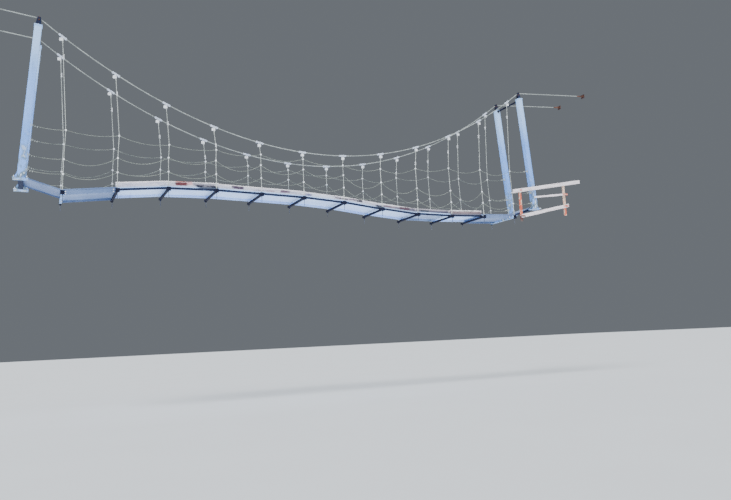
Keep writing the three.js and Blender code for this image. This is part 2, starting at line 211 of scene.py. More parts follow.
def leg_paint():
    """Lighter towards the legs' heads, a painted highlight of the brighter light up there; mottled and
    chipped at their feet.
    """
    f = Finish("weathered_blue_paint")
    head = f.axis(2).rise(2.2, 3.9)
    foot = f.axis(2).rise(1.5, 0.1)
    cloud = f.noise(1.1, detail=6)
    streak = f.noise(1.0, (16, 16, 0.9), detail=6)
    mottle = f.noise(9, (1, 1, 0.6), detail=7)
    chips = f.noise(26, detail=9).rise(0.66, 0.70) * (0.15 + 0.85 * foot)
    f.colour = f.mix(cloud.rise(0.35, 0.65), (110, 162, 240), (134, 180, 252))
    # painted light: the upper part of each leg is lighter, standing in for the brighter light on it
    f.coat(head * 0.8, (180, 216, 255))
    f.coat(streak.rise(0.52, 0.75) * 0.4, (104, 132, 176))
    f.coat(foot * mottle.rise(0.40, 0.54) * 0.85, (96, 114, 112))
    f.coat(foot * mottle.rise(0.57, 0.62) * 0.85, (216, 226, 236))
    f.coat(chips, (110, 62, 40))
    grit = f.noise(60, detail=3) * 0.4 - chips * 0.6
    return f.surface(0.42 + streak * 0.2 + chips * 0.3, grit, 0.0012)


def dark_steel(name, dull, dusty, rusty):
    f = Finish(name)
    worn = f.noise(34, detail=9).rise(0.62, 0.68)
    dust = f.noise(4, detail=6).rise(0.45, 0.8)
    f.colour = f.mix(dust * 0.6, dull, dusty)
    f.coat(worn * rusty, (92, 62, 52))
    return f.surface(0.7 + dust * 0.25, f.noise(90, detail=3) - worn, 0.0008, gloss=0.12)


def zinc_sheet(name, side=False, dull=0.0):
    """Galvanised sheet, its blue partly a painted reflection: darker below one bay, and darker in places
    on its sides, with painted shade near the beams at 1 and 5 bays.
    """
    f = Finish(name)
    place = f.bays()
    spangle = f.cells(48)
    cloud = f.noise(0.9, (1, 1.6, 1), detail=5).rise(0.3, 0.7)
    streak = f.noise(1.0, (14, 1.2, 3), detail=7).rise(0.56, 0.72)
    spots = f.noise(38, detail=8).rise(0.70, 0.74)
    # painted reflection: the strong blue of these colours stands in for sky and water light reflected by
    # the zinc, over its own pale grey
    f.colour = f.mix(spangle, (178, 208, 255), (196, 220, 255))
    f.coat(cloud * 0.5, (148, 180, 244))
    f.coat(streak * 0.35, (146, 162, 204))
    f.coat(spots * 0.45, (150, 118, 104))
    if dull:
        f.coat(cloud * 0.2 + dull, (82, 104, 146))
    if side:
        place = place + (f.noise(5, (1, 1, 2), detail=6) - 0.5) * 0.2
        # darker grey on the side, a little from 4.7 to 5.9 bays and almost fully beyond 7.04 bays
        f.coat(place.within(4.7, 5.9, 0.3) * 0.4 + place.within(7.04, 9, 0.03) * 0.95, (96, 92, 106))
        # painted shade: near black on the sheet's side at 0.62 to 1.07 and 4.90 to 5.10 bays, the shade
        # about the beam ends there
        f.coat((place.within(0.62, 1.07, 0.06) + place.within(4.90, 5.10, 0.05)) * 0.9, (34, 38, 54))
    else:
        # darker below the bay from 6 to 7, in blotches
        blotches = f.noise(3, (1, 2, 1), detail=6).rise(0.3, 0.7)
        f.coat(place.within(6.02, 6.98, 0.1) * (0.65 + blotches * 0.3), (110, 130, 162))
    return f.surface(0.42 + spangle * 0.14 + streak * 0.15, spangle, 0.0003, metallic=0.1)


def zinc_coat(name, dull, bright):
    f = Finish(name)
    cloud = f.noise(30, detail=5)
    spots = f.noise(75, detail=7).rise(0.68, 0.73)
    f.colour = f.mix(cloud.rise(0.35, 0.7), dull, bright)
    f.coat(spots * 0.4, (168, 140, 120))
    return f.surface(0.4 + cloud * 0.25, f.noise(220, detail=2), 0.0003)


def wire_finish(name, dull, bright):
    f = Finish(name)
    cloud = f.noise(3.5, detail=6)
    rust = f.noise(9, detail=8).rise(0.62, 0.74)
    f.colour = f.mix(cloud.rise(0.3, 0.7), dull, bright)
    f.coat(rust * 0.45, (128, 104, 88))
    return f.surface(0.5 + rust * 0.3, f.noise(900, detail=1), 0.0002, metallic=0.1)


def rust_finish():
    f = Finish("rusty_steel")
    cloud = f.noise(7, detail=8)
    flake = f.noise(45, detail=8)
    f.colour = f.mix(cloud.rise(0.35, 0.65), (70, 44, 36), (106, 66, 50))
    f.coat(flake.rise(0.58, 0.7) * 0.7, (52, 38, 36))
    return f.surface(0.7 + flake * 0.25, flake, 0.002, metallic=0.15)


# Marks on the kerb, stains and some painted shade: from and to along it in bays, from and to up it as
# shares of its height, colour
KERB_MARKS = (
    (0.16, 0.41, 0.08, 0.72, (104, 50, 58)),
    (0.16, 0.39, 0.76, 1.40, (232, 132, 116)),
    (0.40, 0.52, 0.22, 0.92, (214, 164, 168)),
    # the next two rows are painted shade on the kerb's lower part before the beam at 1 bay
    (0.52, 1.05, 0.16, 0.68, (140, 136, 148)),
    (0.58, 1.07, -0.5, 0.32, (34, 36, 56)),
    (1.37, 1.63, 0.12, 0.76, (72, 56, 78)),
    (2.14, 2.34, 0.14, 0.45, (170, 150, 162)),
    (2.48, 2.72, 0.16, 0.68, (104, 82, 104)),
    (3.07, 3.23, -0.5, 0.45, (118, 118, 156)),
    (3.82, 4.16, 0.22, 0.54, (66, 44, 56)),
    (4.18, 4.37, 0.36, 0.74, (96, 72, 92)),
    (4.38, 4.53, 0.22, 0.84, (22, 16, 32)),
    # painted shade on the kerb's foot beside the beam at 5 bays
    (4.88, 5.09, -0.5, 0.30, (38, 36, 58)),
    (5.11, 5.29, 0.14, 0.62, (122, 98, 112)),
    (5.29, 5.43, 0.12, 0.54, (144, 126, 138)),
    (5.55, 5.84, 0.08, 0.86, (82, 52, 66)),
    (6.15, 6.40, 0.04, 0.68, (60, 66, 78)),
    (6.44, 6.98, -0.1, 0.44, (84, 82, 104)),
)


def kerb_timber():
    """Bleached along the upper edge, lavender grey below, browner to the right, with stains, a painted
    glare and painted shade.
    """
    f = Finish("bleached_kerb_timber")
    place = f.bays()
    level = DECK_MEAN + TOE_ABOVE
    for swing, crest, wave in DECK_WAVES:
        level = ((place - crest) * (math.tau / wave)).maths("COSINE") * swing + level
    tall = TOE_PLANKS[0][1]
    for (end, before), (_, after) in zip(TOE_PLANKS, TOE_PLANKS[1:]):
        tall = place.rise(end - 0.002, end + 0.002) * (after - before) + tall
    share = (f.axis(2) - level).maths("DIVIDE", tall)
    grain = f.noise(1.0, (2.5, 70, 70), detail=8, distortion=0.4)
    ripple = f.noise(14, (0.7, 1, 1), detail=6) - 0.5
    streaky = grain.rise(0.3, 0.7)
    f.colour = f.mix(streaky, (176, 176, 196), (220, 218, 232))
    # painted light: near white from 3.18 to 3.76 bays, a glare of bright light painted on the kerb
    f.coat(place.within(3.18, 3.76, 0.05) * 0.7, (216, 226, 244))
    f.coat(place.rise(4.9, 5.5), f.mix(streaky, (82, 80, 98), (124, 118, 136)))
    f.coat(place.rise(7.04, 7.06), f.mix(streaky, (108, 92, 98), (148, 130, 136)))
    edge = f.mix(grain, (222, 214, 218), (250, 246, 248))
    edge = f.mix(place.within(5.8, 7.03, 0.15) * 0.85, edge, (150, 144, 154))
    f.coat((share + ripple * 0.5).rise(0.56, 0.82), edge)
    # darker towards the kerb's foot beyond 4.6 bays, in patches
    low_darkening = share.rise(0.35, 0.0) * f.noise(1.3, detail=3).rise(0.42, 0.6) * place.rise(4.6, 5.4)
    f.coat(low_darkening * 0.5, (84, 76, 88))
    bays = place + ripple * 0.08
    height = share + ripple * 0.16
    patchy = 0.70 + 0.30 * f.noise(9, (0.6, 1, 1), detail=7).rise(0.36, 0.50)
    for start, end, low, high, tone in KERB_MARKS:
        there = bays.within(start, end, 0.025) * height.within(low, high, 0.05) * patchy
        darker, lighter = (tuple(c * times for c in tone) for times in (0.8, 1.1))
        f.coat(there, f.mix(grain, darker, lighter))
    cracks = f.noise(1.0, (1.2, 120, 120), detail=9).rise(0.62, 0.66)
    f.coat(cracks * 0.6, (76, 60, 62))
    return f.surface(0.85, grain - cracks * 1.5, 0.004)


def rail_timber(slope):
    """Pale planks, their grain along a slope."""
    f = Finish("pale_rail_timber", slope)
    grain = f.noise(1.0, (3, 60, 60), detail=8, distortion=0.5)
    knots = f.noise(3.2, (1, 2.4, 2.4), detail=3).rise(0.68, 0.74)
    cracks = f.noise(1.0, (1.6, 130, 130), detail=9).rise(0.61, 0.65)
    f.colour = f.mix(grain.rise(0.3, 0.7), (226, 212, 214), (252, 244, 248))
    f.coat(knots * 0.7, (132, 96, 66))
    f.coat(cracks * 0.7, (96, 76, 60))
    return f.surface(0.85, grain - cracks * 1.5, 0.004)


def red_paint():
    """Orange-red paint peeled to a pale primer, most at the right post's head, with rust beneath."""
    f = Finish("peeling_red_paint")
    bleached = f.axis(0).rise(0.4, 0.6) * f.axis(2).rise(0.15, 0.40)
    flakes = f.noise(13, (1, 1, 0.45), detail=9) + bleached * 0.09
    peeled = flakes.rise(0.545, 0.56)
    bare = flakes.rise(0.72, 0.74)
    foot = f.axis(2).rise(-0.20, -0.32)
    f.colour = f.mix(f.noise(5, detail=6).rise(0.3, 0.7), (198, 84, 56), (222, 112, 82))
    f.coat(peeled, (226, 200, 176))
    f.coat(foot * (0.8 + 0.2 * f.noise(9, detail=7)), (46, 18, 28))
    f.coat(bare, (122, 70, 46))
    return f.surface(0.62 + bare * 0.25, 1 - peeled - bare, 0.0012)


FINISHES = {
    "leg": leg_paint(),
    "dark": dark_steel("dark_painted_steel", (30, 38, 62), (58, 70, 100), 0.7),
    "pitch": dark_steel("tarred_steel", (20, 24, 44), (40, 46, 74), 0.3),
    "sheet": zinc_sheet("galvanised_sheet"),
    "side": zinc_sheet("sheet_side", side=True),
    "trough": zinc_sheet("dull_blue_sheet", dull=0.8),
    "zinc": zinc_coat("bright_zinc", (232, 234, 238), (250, 250, 250)),
    "clamp": zinc_coat("dull_zinc", (206, 214, 230), (234, 240, 250)),
    "thread": wire_finish("dark_thread", (58, 64, 82), (88, 94, 112)),
    "cable": wire_finish("grey_cable_rope", (138, 144, 140), (172, 177, 172)),
    "hanger": wire_finish("hanger_rope", (176, 182, 176), (210, 214, 208)),
    "hand": wire_finish("dull_hand_rope", (118, 126, 117), (150, 156, 146)),
    "rust": rust_finish(),
    "kerb": kerb_timber(),
    "red": red_paint(),
}


# Outlines and closed solids
def arc(radius, start, end, steps):
    """Points on a circle between two angles in degrees, both ends included."""
    turns = [math.radians(start + (end - start) * i / steps) for i in range(steps + 1)]
    return [(radius * math.cos(a), radius * math.sin(a)) for a in turns]


def circle(radius, sides):
    return arc(radius, 0, 360, sides)[:-1]


def rounded(width, height, radius, steps=3, low=False):
    """A rectangle with round corners, centred, or standing on zero when low is set."""
    points = []
    for side, level, start in ((1, 1, 0), (-1, 1, 90), (-1, -1, 180), (1, -1, 270)):
        x = side * (width / 2 - radius)
        z = level * (height / 2 - radius) + (height / 2 if low else 0)
        points += [(x + a, z + b) for a, b in arc(radius, start, start + 90, steps)]
    return points


def corners(a, b):
    return [(-a, -b), (-a, b), (a, -b), (a, b)]


def across(axis):
    """An axis as a unit vector, and two more at right angles to it and to each other."""
    axis = Vector(axis).normalized()
    aside = axis.orthogonal().normalized()
    return axis, aside, axis.cross(aside)


def finished(mesh, solid, sharp):
    """Closed solids as a plain mesh, faces outwards and smooth but for edges past an angle."""
    bmesh.ops.recalc_face_normals(solid, faces=solid.faces)
    solid.to_mesh(mesh)
    solid.free()
    mesh.polygons.foreach_set("use_smooth", [True] * len(mesh.polygons))
    mesh.set_sharp_from_angle(angle=math.radians(sharp))
    return mesh


def linked(name, data):
    thing = bpy.data.objects.new(name, data)
    scene.collection.objects.link(thing)
    return thing


def piece(name, mesh, slot, *nodes):
    thing = linked(name, mesh)
    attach(thing, "root")
    if nodes:
        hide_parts(*nodes)
    return thing


class Shape:
    """Closed solids gathered in one mesh. Points go through the shape's own frame."""

    def __init__(self, finish):
        self.mesh = bmesh.new()
        self.frame = Matrix.Identity(4)
        self.finishes = []
        self.use(finish)

    def use(self, finish):
        """Gives a finish, by its name or as a material, to what is added from here on."""
        finish = FINISHES.get(finish, finish)
        if finish not in self.finishes:
            self.finishes.append(finish)
        self.index = self.finishes.index(finish)

    def row(self, points):
        return [self.mesh.verts.new(self.frame @ Vector(p)) for p in points]

    def face(self, row):
        face = self.mesh.faces.new(row)
        face.material_index = self.index
        return face

    def wall(self, low, high):
        """The faces between two rows of vertices, each a closed ring."""
        return [self.face(four) for four in zip(low, low[1:] + low[:1], high[1:] + high[:1], high)]

    def loft(self, rings, bevel=0.0, steps=1):
        """A closed solid through rings of points, with its sharp edges rounded by bevel."""
        rows = [self.row(ring) for ring in rings]
        faces = [self.face(rows[0][::-1]), self.face(rows[-1])]
        for low, high in zip(rows, rows[1:]):
            faces += self.wall(low, high)
        if bevel:
            edges = dict.fromkeys(e for face in faces for e in face.edges if e.calc_face_angle(0) > 0.6)
            bmesh.ops.bevel(self.mesh, geom=list(edges), offset=bevel, segments=steps,
                            profile=0.5, affect="EDGES", clamp_overlap=True, material=-1)

    def box(self, corner, opposite, bevel=0.0, steps=1):
        (a, d), (b, e), (c, f) = (sorted(pair) for pair in zip(corner, opposite))
        self.loft([[(a, b, z), (d, b, z), (d, e, z), (a, e, z)] for z in (c, f)], bevel, steps)

    def plate(self, outline, start, end, bevel=0.0):
        """An outline in X and Z between two places on Y."""
        self.loft([[(x, y, z) for x, z in outline] for y in sorted((start, end))], bevel)

    def cheeks(self, outline, inner, outer, bevel):
        """A plate on each side, between two distances from the middle."""
        for side in (-1, 1):
            self.plate(outline, inner * side, outer * side, bevel)

    def tall(self, outline, low, high, bevel=0.0):
        """An outline in X and Y between two heights."""
        self.loft([[(x, y, z) for x, y in outline] for z in (low, high)], bevel)

    def turned(self, profile, base, axis, sides):
        """A turned solid: radius and distance pairs along an axis from its base."""
        axis, aside, other = across(axis)
        rings = []
        for radius, along in profile:
            centre = Vector(base) + axis * along
            rings.append([centre + aside * a + other * b for a, b in circle(radius, sides)])
        self.loft(rings)

    def disc(self, base, axis, radius, height, sides=6):
        """A nut, or a washer when it has more sides."""
        self.turned([(radius, 0), (radius, height)], base, axis, sides)

    def rod(self, start, end, radius, sides):
        run = Vector(end) - Vector(start)
        self.disc(start, run, radius, run.length, sides)

    def ring(self, centre, axis, radius, wire):
        """A closed ring of round wire."""
        axis, aside, other = across(axis)
        rows = []
        for a, b in circle(1.0, 16):
            out = aside * a + other * b
            place = Vector(centre) + out * radius
            rows.append(self.row(place + out * c + axis * d for c, d in circle(wire, 8)))
        for row, after in zip(rows, rows[1:] + rows[:1]):
            self.wall(row, after)

    def bolt(self, place, axis, size, washer=True):
        """A hexagon head on a washer, its axis pointing out of the surface."""
        axis = Vector(axis).normalized()
        if washer:
            self.disc(place, axis, size * 1.6, size * 0.25, 14)
        head = [(size * 1.05, 0), (size * 1.05, size * 0.85), (size * 0.85, size)]
        self.turned(head, Vector(place) + axis * size * 0.2, axis, 6)

    def heads(self, x, z, face, size, washer=True):
        """A bolt head on each side, on faces along Y."""
        for side in (-1, 1):
            self.bolt((x, face * side, z), (0, side, 0), size, washer)

    def stud(self, start, end, radius, pitch=0.0025):
        """A threaded rod, its thread as rings."""
        run = Vector(end) - Vector(start)
        rings = 2 * max(2, round(run.length / pitch))
        profile = [(radius * (1 if i % 2 else 0.88), run.length * i / rings) for i in range(rings + 1)]
        self.turned(profile, start, run, 10)

    def recolour(self, finish, chosen):
        """Gives another finish to the faces whose centres are chosen."""
        self.use(finish)
        for face in self.mesh.faces:
            if chosen(face.calc_center_median()):
                face.material_index = self.index

    def data(self, name):
        """The shape's plain mesh. The shape is used up."""
        mesh = finished(bpy.data.meshes.new(name), self.mesh, 40)
        for finish in self.finishes:
            mesh.materials.append(finish)
        return mesh

    def piece(self, name, slot, *nodes):
        return piece(name, self.data(name), slot, *nodes)


# Growths: geometry node trees that make a plain mesh from a seed mesh
class Growth(Graph):
    """A geometry node tree with named inputs."""

    def __init__(self, name, inputs):
        super().__init__(bpy.data.node_groups.new(name, "GeometryNodeTree"))
        face = self.tree.interface
        face.new_socket("Geometry", in_out="INPUT", socket_type="NodeSocketGeometry")
        self.names = {}
        for label, kind in inputs.items():
            self.names[label] = face.new_socket(label, in_out="INPUT", socket_type=kind).identifier
        face.new_socket("Geometry", in_out="OUTPUT", socket_type="NodeSocketGeometry")
        group = self.tree.nodes.new("NodeGroupInput")
        self.given = {socket.name: Value(self, socket) for socket in group.outputs if socket.name}

    def end(self, geometry):
        whole = self.node("GeometryNodeRealizeInstances", {}, [geometry])
        coated = self.node("GeometryNodeSetMaterial", {}, {0: whole, 2: self.given["Finish"]})
        self.node("NodeGroupOutput", {}, [coated])

    def grow(self, seed_mesh, **inputs):
        seed = linked("seed", seed_mesh)
        modifier = seed.modifiers.new("growth", "NODES")
        modifier.node_group = self.tree
        for label, value in inputs.items():
            modifier[self.names[label]] = value
        depsgraph = bpy.context.evaluated_depsgraph_get()
        mesh = bpy.data.meshes.new_from_object(seed.evaluated_get(depsgraph))
        seed.modifiers.remove(modifier)
        bpy.data.objects.remove(seed)
        bpy.data.meshes.remove(seed_mesh)
        return mesh


def rope_growth():
    """Stranded rope along each line of the seed: a lobed section that turns once in each lay."""
    sizes = dict.fromkeys(("Radius", "Lay", "Step", "Groove"), "NodeSocketFloat")
    g = Growth("stranded_rope", {**sizes, "Finish": "NodeSocketMaterial"})
    line = g.node("GeometryNodeMeshToCurve", {}, [g.given["Geometry"]])
    spacing = {"Curve": line, "Length": g.given["Step"]}
    line = g.node("GeometryNodeResampleCurve", {"mode": "LENGTH"}, spacing)
    length = g.node("GeometryNodeSplineParameter", output="Length")
    turn = (length * math.tau).maths("DIVIDE", g.given["Lay"])
    line = g.node("GeometryNodeSetCurveTilt", {}, {"Curve": line, "Tilt": turn})
    strands = 6
    round_section = {"Resolution": 2 * strands, "Radius": g.given["Radius"]}
    section = g.node("GeometryNodeCurvePrimitiveCircle", {}, round_section)
    lobe = 1 - g.node("GeometryNodeInputIndex").maths("MODULO", 2.0) * g.given["Groove"]
    scaled = {"Vector": g.node("GeometryNodeInputPosition"), "Scale": lobe}
    place = g.node("ShaderNodeVectorMath", {"operation": "SCALE"}, scaled)
    section = g.node("GeometryNodeSetPosition", {}, {"Geometry": section, "Position": place})
    tube = {"Curve": line, "Profile Curve": section, "Fill Caps": True}
    g.end(g.node("GeometryNodeCurveToMesh", {}, tube))
    return g


def copies_growth():
    """One part set on each point of the seed, its Z along the point's aim and its X along its turn."""
    g = Growth("copies_on_points", {"Part": "NodeSocketObject", "Finish": "NodeSocketMaterial"})
    part = g.node("GeometryNodeObjectInfo", {}, {"Object": g.given["Part"]}, "Geometry")
    aim, turn = [g.node("GeometryNodeInputNamedAttribute", {"data_type": "FLOAT_VECTOR"}, {"Name": name})
                 for name in ("aim", "turn")]
    axes = {"primary_axis": "Z", "secondary_axis": "X"}
    turned = g.node("FunctionNodeAxesToRotation", axes, [aim, turn])
    placed = {"Points": g.given["Geometry"], "Instance": part, "Rotation": turned}
    g.end(g.node("GeometryNodeInstanceOnPoints", {}, placed))
    return g


ROPE = rope_growth()
COPIES = copies_growth()

# Each kind of rope: radius, the length in which its strands turn once, and the step of its rings
ROPES = {
    "cable": (CABLE_RADIUS, 0.190, 0.016),
    "hanger": (HANGER_RADIUS * 0.92, 0.120, 0.020),
    "hand": (ROPE_RADIUS * 1.05, 0.085, 0.017),
}


def lines_mesh(lines):
    """A seed mesh of open lines."""
    points = []
    edges = []
    for line in lines:
        start = len(points)
        points += line
        edges += [(start + i, start + i + 1) for i in range(len(line) - 1)]
    mesh = bpy.data.meshes.new("lines")
    mesh.from_pydata(points, edges, [])
    return mesh


def rope(name, lines, kind, node):
    radius, lay, step = ROPES[kind]
    sizes = {"Radius": radius, "Lay": lay, "Step": step, "Groove": 0.2}
    mesh = ROPE.grow(lines_mesh(lines), Finish=FINISHES[kind], **sizes)
    solid = bmesh.new()
    solid.from_mesh(mesh)
    piece(name, finished(mesh, solid, 55), "wire_rope", node)


def copies(name, shape, spots, slot, *nodes):
    """Copies of a shape of one finish at spots, each a place, an aim and a turn."""
    seed = bpy.data.meshes.new("spots")
    seed.from_pydata([s[0] for s in spots], [], [])
    for key, index in (("aim", 1), ("turn", 2)):
        store = seed.attributes.new(key, "FLOAT_VECTOR", "POINT")
        store.data.foreach_set("vector", [c for s in spots for c in s[index]])
    part = linked("part", shape.data("part"))
    mesh = COPIES.grow(seed, Part=part, Finish=shape.finishes[0])
    bpy.data.objects.remove(part)
    mesh.polygons.foreach_set("use_smooth", [True] * len(mesh.polygons))
    piece(name, mesh, slot, *nodes)


# Camera at the photograph's viewing angle, a plain pale floor and soft studio light
CAMERA_PLACE = (-16.50, -19.26, -4.49)
CAMERA_YAW, CAMERA_PITCH, CAMERA_ROLL = 0.4697, 0.1358, -0.0474
SENSOR, LENS, CLIP_END = 36.0, 32.69, 500
FLOOR_LEVEL, FLOOR_REACH = -6.1, 260
COOL_LIGHT = (0.90, 0.95, 1.0)

# Lamps: energy, spread, heading from the river side and height, the last three in degrees
LAMPS = {"key": (4.6, 25, -60, 48), "fill": (2.3, 60, 35, 25), "back": (1.2, 60, 170, 35)}
LOW_LAMP_ENERGY, LOW_LAMP_SIZE, LOW_LAMP_Y, LOW_LAMP_ABOVE = 2300, (36, 16), -2, 0.2


def make_camera():
    data = bpy.data.cameras.new("view")
    data.sensor_width = SENSOR
    data.lens = LENS
    data.clip_end = CLIP_END
    camera = linked("view", data)
    heading = Matrix.Rotation(-CAMERA_YAW, 4, "Z")
    tilt = Matrix.Rotation(math.pi / 2 + CAMERA_PITCH, 4, "X")
    roll = Matrix.Rotation(CAMERA_ROLL, 4, "Z")
    camera.matrix_world = Matrix.Translation(CAMERA_PLACE) @ heading @ tilt @ roll
    scene.camera = camera


def make_floor():
    f = Finish("pale_floor")
    f.colour = f.mix(f.noise(0.4, detail=3), (212, 213, 214), (218, 219, 220))
    a = FLOOR_REACH
    points = [(x, y, FLOOR_LEVEL) for x, y in ((-a, -a), (a, -a), (a, a), (-a, a))]
    mesh = bpy.data.meshes.new("floor")
    mesh.from_pydata(points, [], [(0, 1, 2, 3)])
    mesh.materials.append(f.surface(0.9))
    linked("floor", mesh)


def make_light():
    world = bpy.data.worlds.new("studio")
    world.use_nodes = True
    world.node_tree.nodes["Background"].inputs["Color"].default_value = shade((108, 113, 119))
    world.node_tree.nodes["Background"].inputs["Strength"].default_value = 1.0
    scene.world = world
    for name, (energy, spread, heading, height) in LAMPS.items():
        lamp = bpy.data.lights.new(name, "SUN")
        lamp.energy = energy
        lamp.color = COOL_LIGHT
        lamp.angle = math.radians(spread)
        around, above = math.radians(heading), math.radians(height)
        flat = math.cos(above)
        towards = Vector((math.sin(around) * flat, -math.cos(around) * flat, math.sin(above)))
        light = linked(name, lamp)
        light.rotation_mode = "QUATERNION"
        light.rotation_quaternion = towards.to_track_quat("Z", "Y")
    lamp = bpy.data.lights.new("from_below", "AREA")
    lamp.shape = "RECTANGLE"
    lamp.size, lamp.size_y = LOW_LAMP_SIZE
    lamp.energy = LOW_LAMP_ENERGY
    lamp.color = COOL_LIGHT
    place = Matrix.Translation((MID_X, LOW_LAMP_Y, FLOOR_LEVEL + LOW_LAMP_ABOVE))
    light = linked("from_below", lamp)
    light.matrix_world = place @ Matrix.Rotation(math.pi, 4, "X")
    light.visible_camera = False


# Main cables, from anchor to anchor over both saddles
def cable_route(y):
    """A parabola over the span, a short bend on each saddle and straight backstays."""
    slope = 2 * CABLE_RISE * (-MID_X - TOWER_LEAN)
    half, bends, step = 0.080, 8, BAY / 6
    top = Vector((-TOWER_LEAN, y, CABLE_TOP))
    before = top - Vector((half, 0, half * slope))
    after = top + Vector((half, 0, half * BACK_SLOPE))
    bend = [before.lerp(top, t).lerp(top.lerp(after, t), t) for t in (i / bends for i in range(bends + 1))]
    span = [MID_X + i * step for i in range(1, int((before.x - MID_X) / step) + 1)]
    right = [Vector((x, y, cable_level(x))) for x in span]
    right += [*bend, Vector((ANCHOR_REACH, y, ANCHOR_LEVEL))]
    left = [Vector((LEFT_FOOT_X - p.x, y, p.z)) for p in reversed(right)]
    return left + [Vector((MID_X, y, CABLE_LOW))] + right


# Hangers and hand ropes
def smooth(x, low, high):
    t = min(1, max(0, (x - low) / (high - low)))
    return t * t * (3 - 2 * t)


# For each row: height above the deck by bays from the middle, sag, and the share of the clips' pull
ROPE_ROWS = (
    (lambda d: 1.222 + 0.470 * (smooth(d, 0.5, 3.5) + smooth(-d, 3, 5.5)), 0.130, 1.0),
    (lambda d: 0.897, 0.270, 0.35),
    (lambda d: 0.497, 0.240, 0.15),
)
SLACK_LEFT, SLACK_RIGHT, SLACK_CHANGE, SLACK_STEPS = 0.6, 1.15, 0.25, 16
END_RISE, END_SAG = 0.060, 0.040
SPLICE_BELOW = 0.56
EYE_THICKNESS = 0.014
STEM_PIN, STEM_FOOT = -0.066, -0.106

# Where a hanger's rope ends, inside its fittings: below the cable and above the beam
IN_THIMBLE, IN_SLEEVE = 0.166, 0.190


def hanger_route(n, y):
    """The hanger's head on the cable, its three clips and its foot on the beam."""
    away = max(-1, min(1, (n - MID_BEAM) / 2.5))
    head_x = station_x(n) + HANGER_LEAN * away
    head = Vector((head_x, y, cable_level(head_x)))
    foot = Vector((station_x(n), y, deck_level(n) + BEAM_TOP))
    clips = []
    for height, _, pull in ROPE_ROWS:
        level = deck_level(n) + height(n - MID_BEAM)
        clip = foot.lerp(head, (level - foot.z) / (head.z - foot.z))
        clip.x -= CLIP_PULL * (n - MID_BEAM) * pull
        clips.append(clip)
    return [head, *clips, foot]


def slack_share(i, row):
    """A hand rope's slack in each bay: more to the right, and uneven from bay to bay."""
    place = i / (LAST - FIRST - 1)
    return (SLACK_LEFT + (SLACK_RIGHT - SLACK_LEFT) * place) * (1 + SLACK_CHANGE * math.sin(2.1 * i + row))


def slack_rope(start, end, depth):
    points = []
    for t in (i / SLACK_STEPS for i in range(SLACK_STEPS + 1)):
        point = start.lerp(end, t)
        point.z -= depth * 4 * t * (1 - t)
        points.append(point)
    return points


def leg_face(z):
    """Where the hand ropes' eyes sit on the right tower's leg at a height."""
    return -math.tan(LEAN) * z - (LEG_SIDE / 2 + EYE_THICKNESS / 2 + GAP) / math.cos(LEAN)


def hand_rope_line(row, hangers, y):
    clips = [points[row + 1] for points in hangers]
    low, high = clips[0].z + END_RISE, clips[-1].z + END_RISE
    line = slack_rope(Vector((LEFT_FOOT_X - leg_face(low), y, low)), clips[0], END_SAG)
    for i, (start, end) in enumerate(zip(clips, clips[1:])):
        line += slack_rope(start, end, ROPE_ROWS[row][1] * slack_share(i, row))[1:]
    return line + slack_rope(clips[-1], Vector((leg_face(high), y, high)), END_SAG)[1:]


def cable_clamp():
    """Two half shells round the cable with bolted flanges and a web below, along X."""
    s = Shape("clamp")
    half, outer, bore, flange, edge, split = 0.115, 0.025, 0.0135, 0.038, 0.010, 0.002
    crown = arc(outer, 25, 155, 8)
    hollow = arc(bore, 172, 8, 6)
    outline = [(flange, split), (flange, edge), *crown, (-flange, edge), (-flange, split), *hollow]
    for side in (1, -1):
        s.loft([[(x, y, z * side) for y, z in outline] for x in (-half, half)], 0.0012)
    web_top, web_foot, web_half = -0.020, -0.078, 0.006
    web = [(-0.034, web_top), (0.034, web_top), (0.020, web_foot), (-0.020, web_foot)]
    s.plate(web, -web_half, web_half, 0.001)
    bolt, shank, tail = 0.0075, 0.0045, 0.018
    for x in (-0.085, 0.0, 0.085):
        for y in (-0.031, 0.031):
            s.bolt((x, y, edge), UP, bolt)
            s.bolt((x, y, -edge), DOWN, bolt)
            s.rod((x, y, -edge), (x, y, -edge - tail), shank, 8)
    return s


def hanger_stem():
    """Two square cheeks bolted to the clamp's web, with the hanger's eye held between them."""
    s = Shape("zinc")
    inside, face, foot = 0.008, 0.015, -0.128
    s.cheeks([(x, z + foot) for x, z in rounded(0.098, 0.078, 0.008, low=True)], inside, face, 0.0012)
    for side in (-1, 1):
        s.box((0.024 * side, -inside, foot + 0.002), (0.046 * side, inside, foot + 0.042), 0.001)
    low_bolts = [(x, STEM_FOOT) for x in (-0.036, 0, 0.036)]
    for x, z in [(-0.022, STEM_PIN), (0.022, STEM_PIN), *low_bolts]:
        s.heads(x, z, face, 0.009)
        s.rod((x, -0.026, z), (x, 0.030, z), 0.005, 8)
    s.ring((0, 0, STEM_FOOT - 0.004), AWAY, 0.014, 0.0065)
    return s


def hanger_thimble():
    """The sleeve on a hanger below its eye."""
    s = Shape("hanger")
    sleeve = [(0.007, 0.0), (0.0125, 0.006), (0.0125, 0.050), (0.0095, 0.060)]
    s.turned(sleeve, (0, 0, -0.122), DOWN, 14)
    return s


def rope_crossing():
    """A cross clamp where a hand rope passes a hanger: two domed halves and two bolts."""
    s = Shape("zinc")
    s.cheeks(rounded(0.044, 0.040, 0.009), 0.001, 0.017, 0.003)
    for x, z in ((-0.013, 0.011), (0.013, -0.011)):
        s.heads(x, z, 0.016, 0.0062, washer=False)
    return s


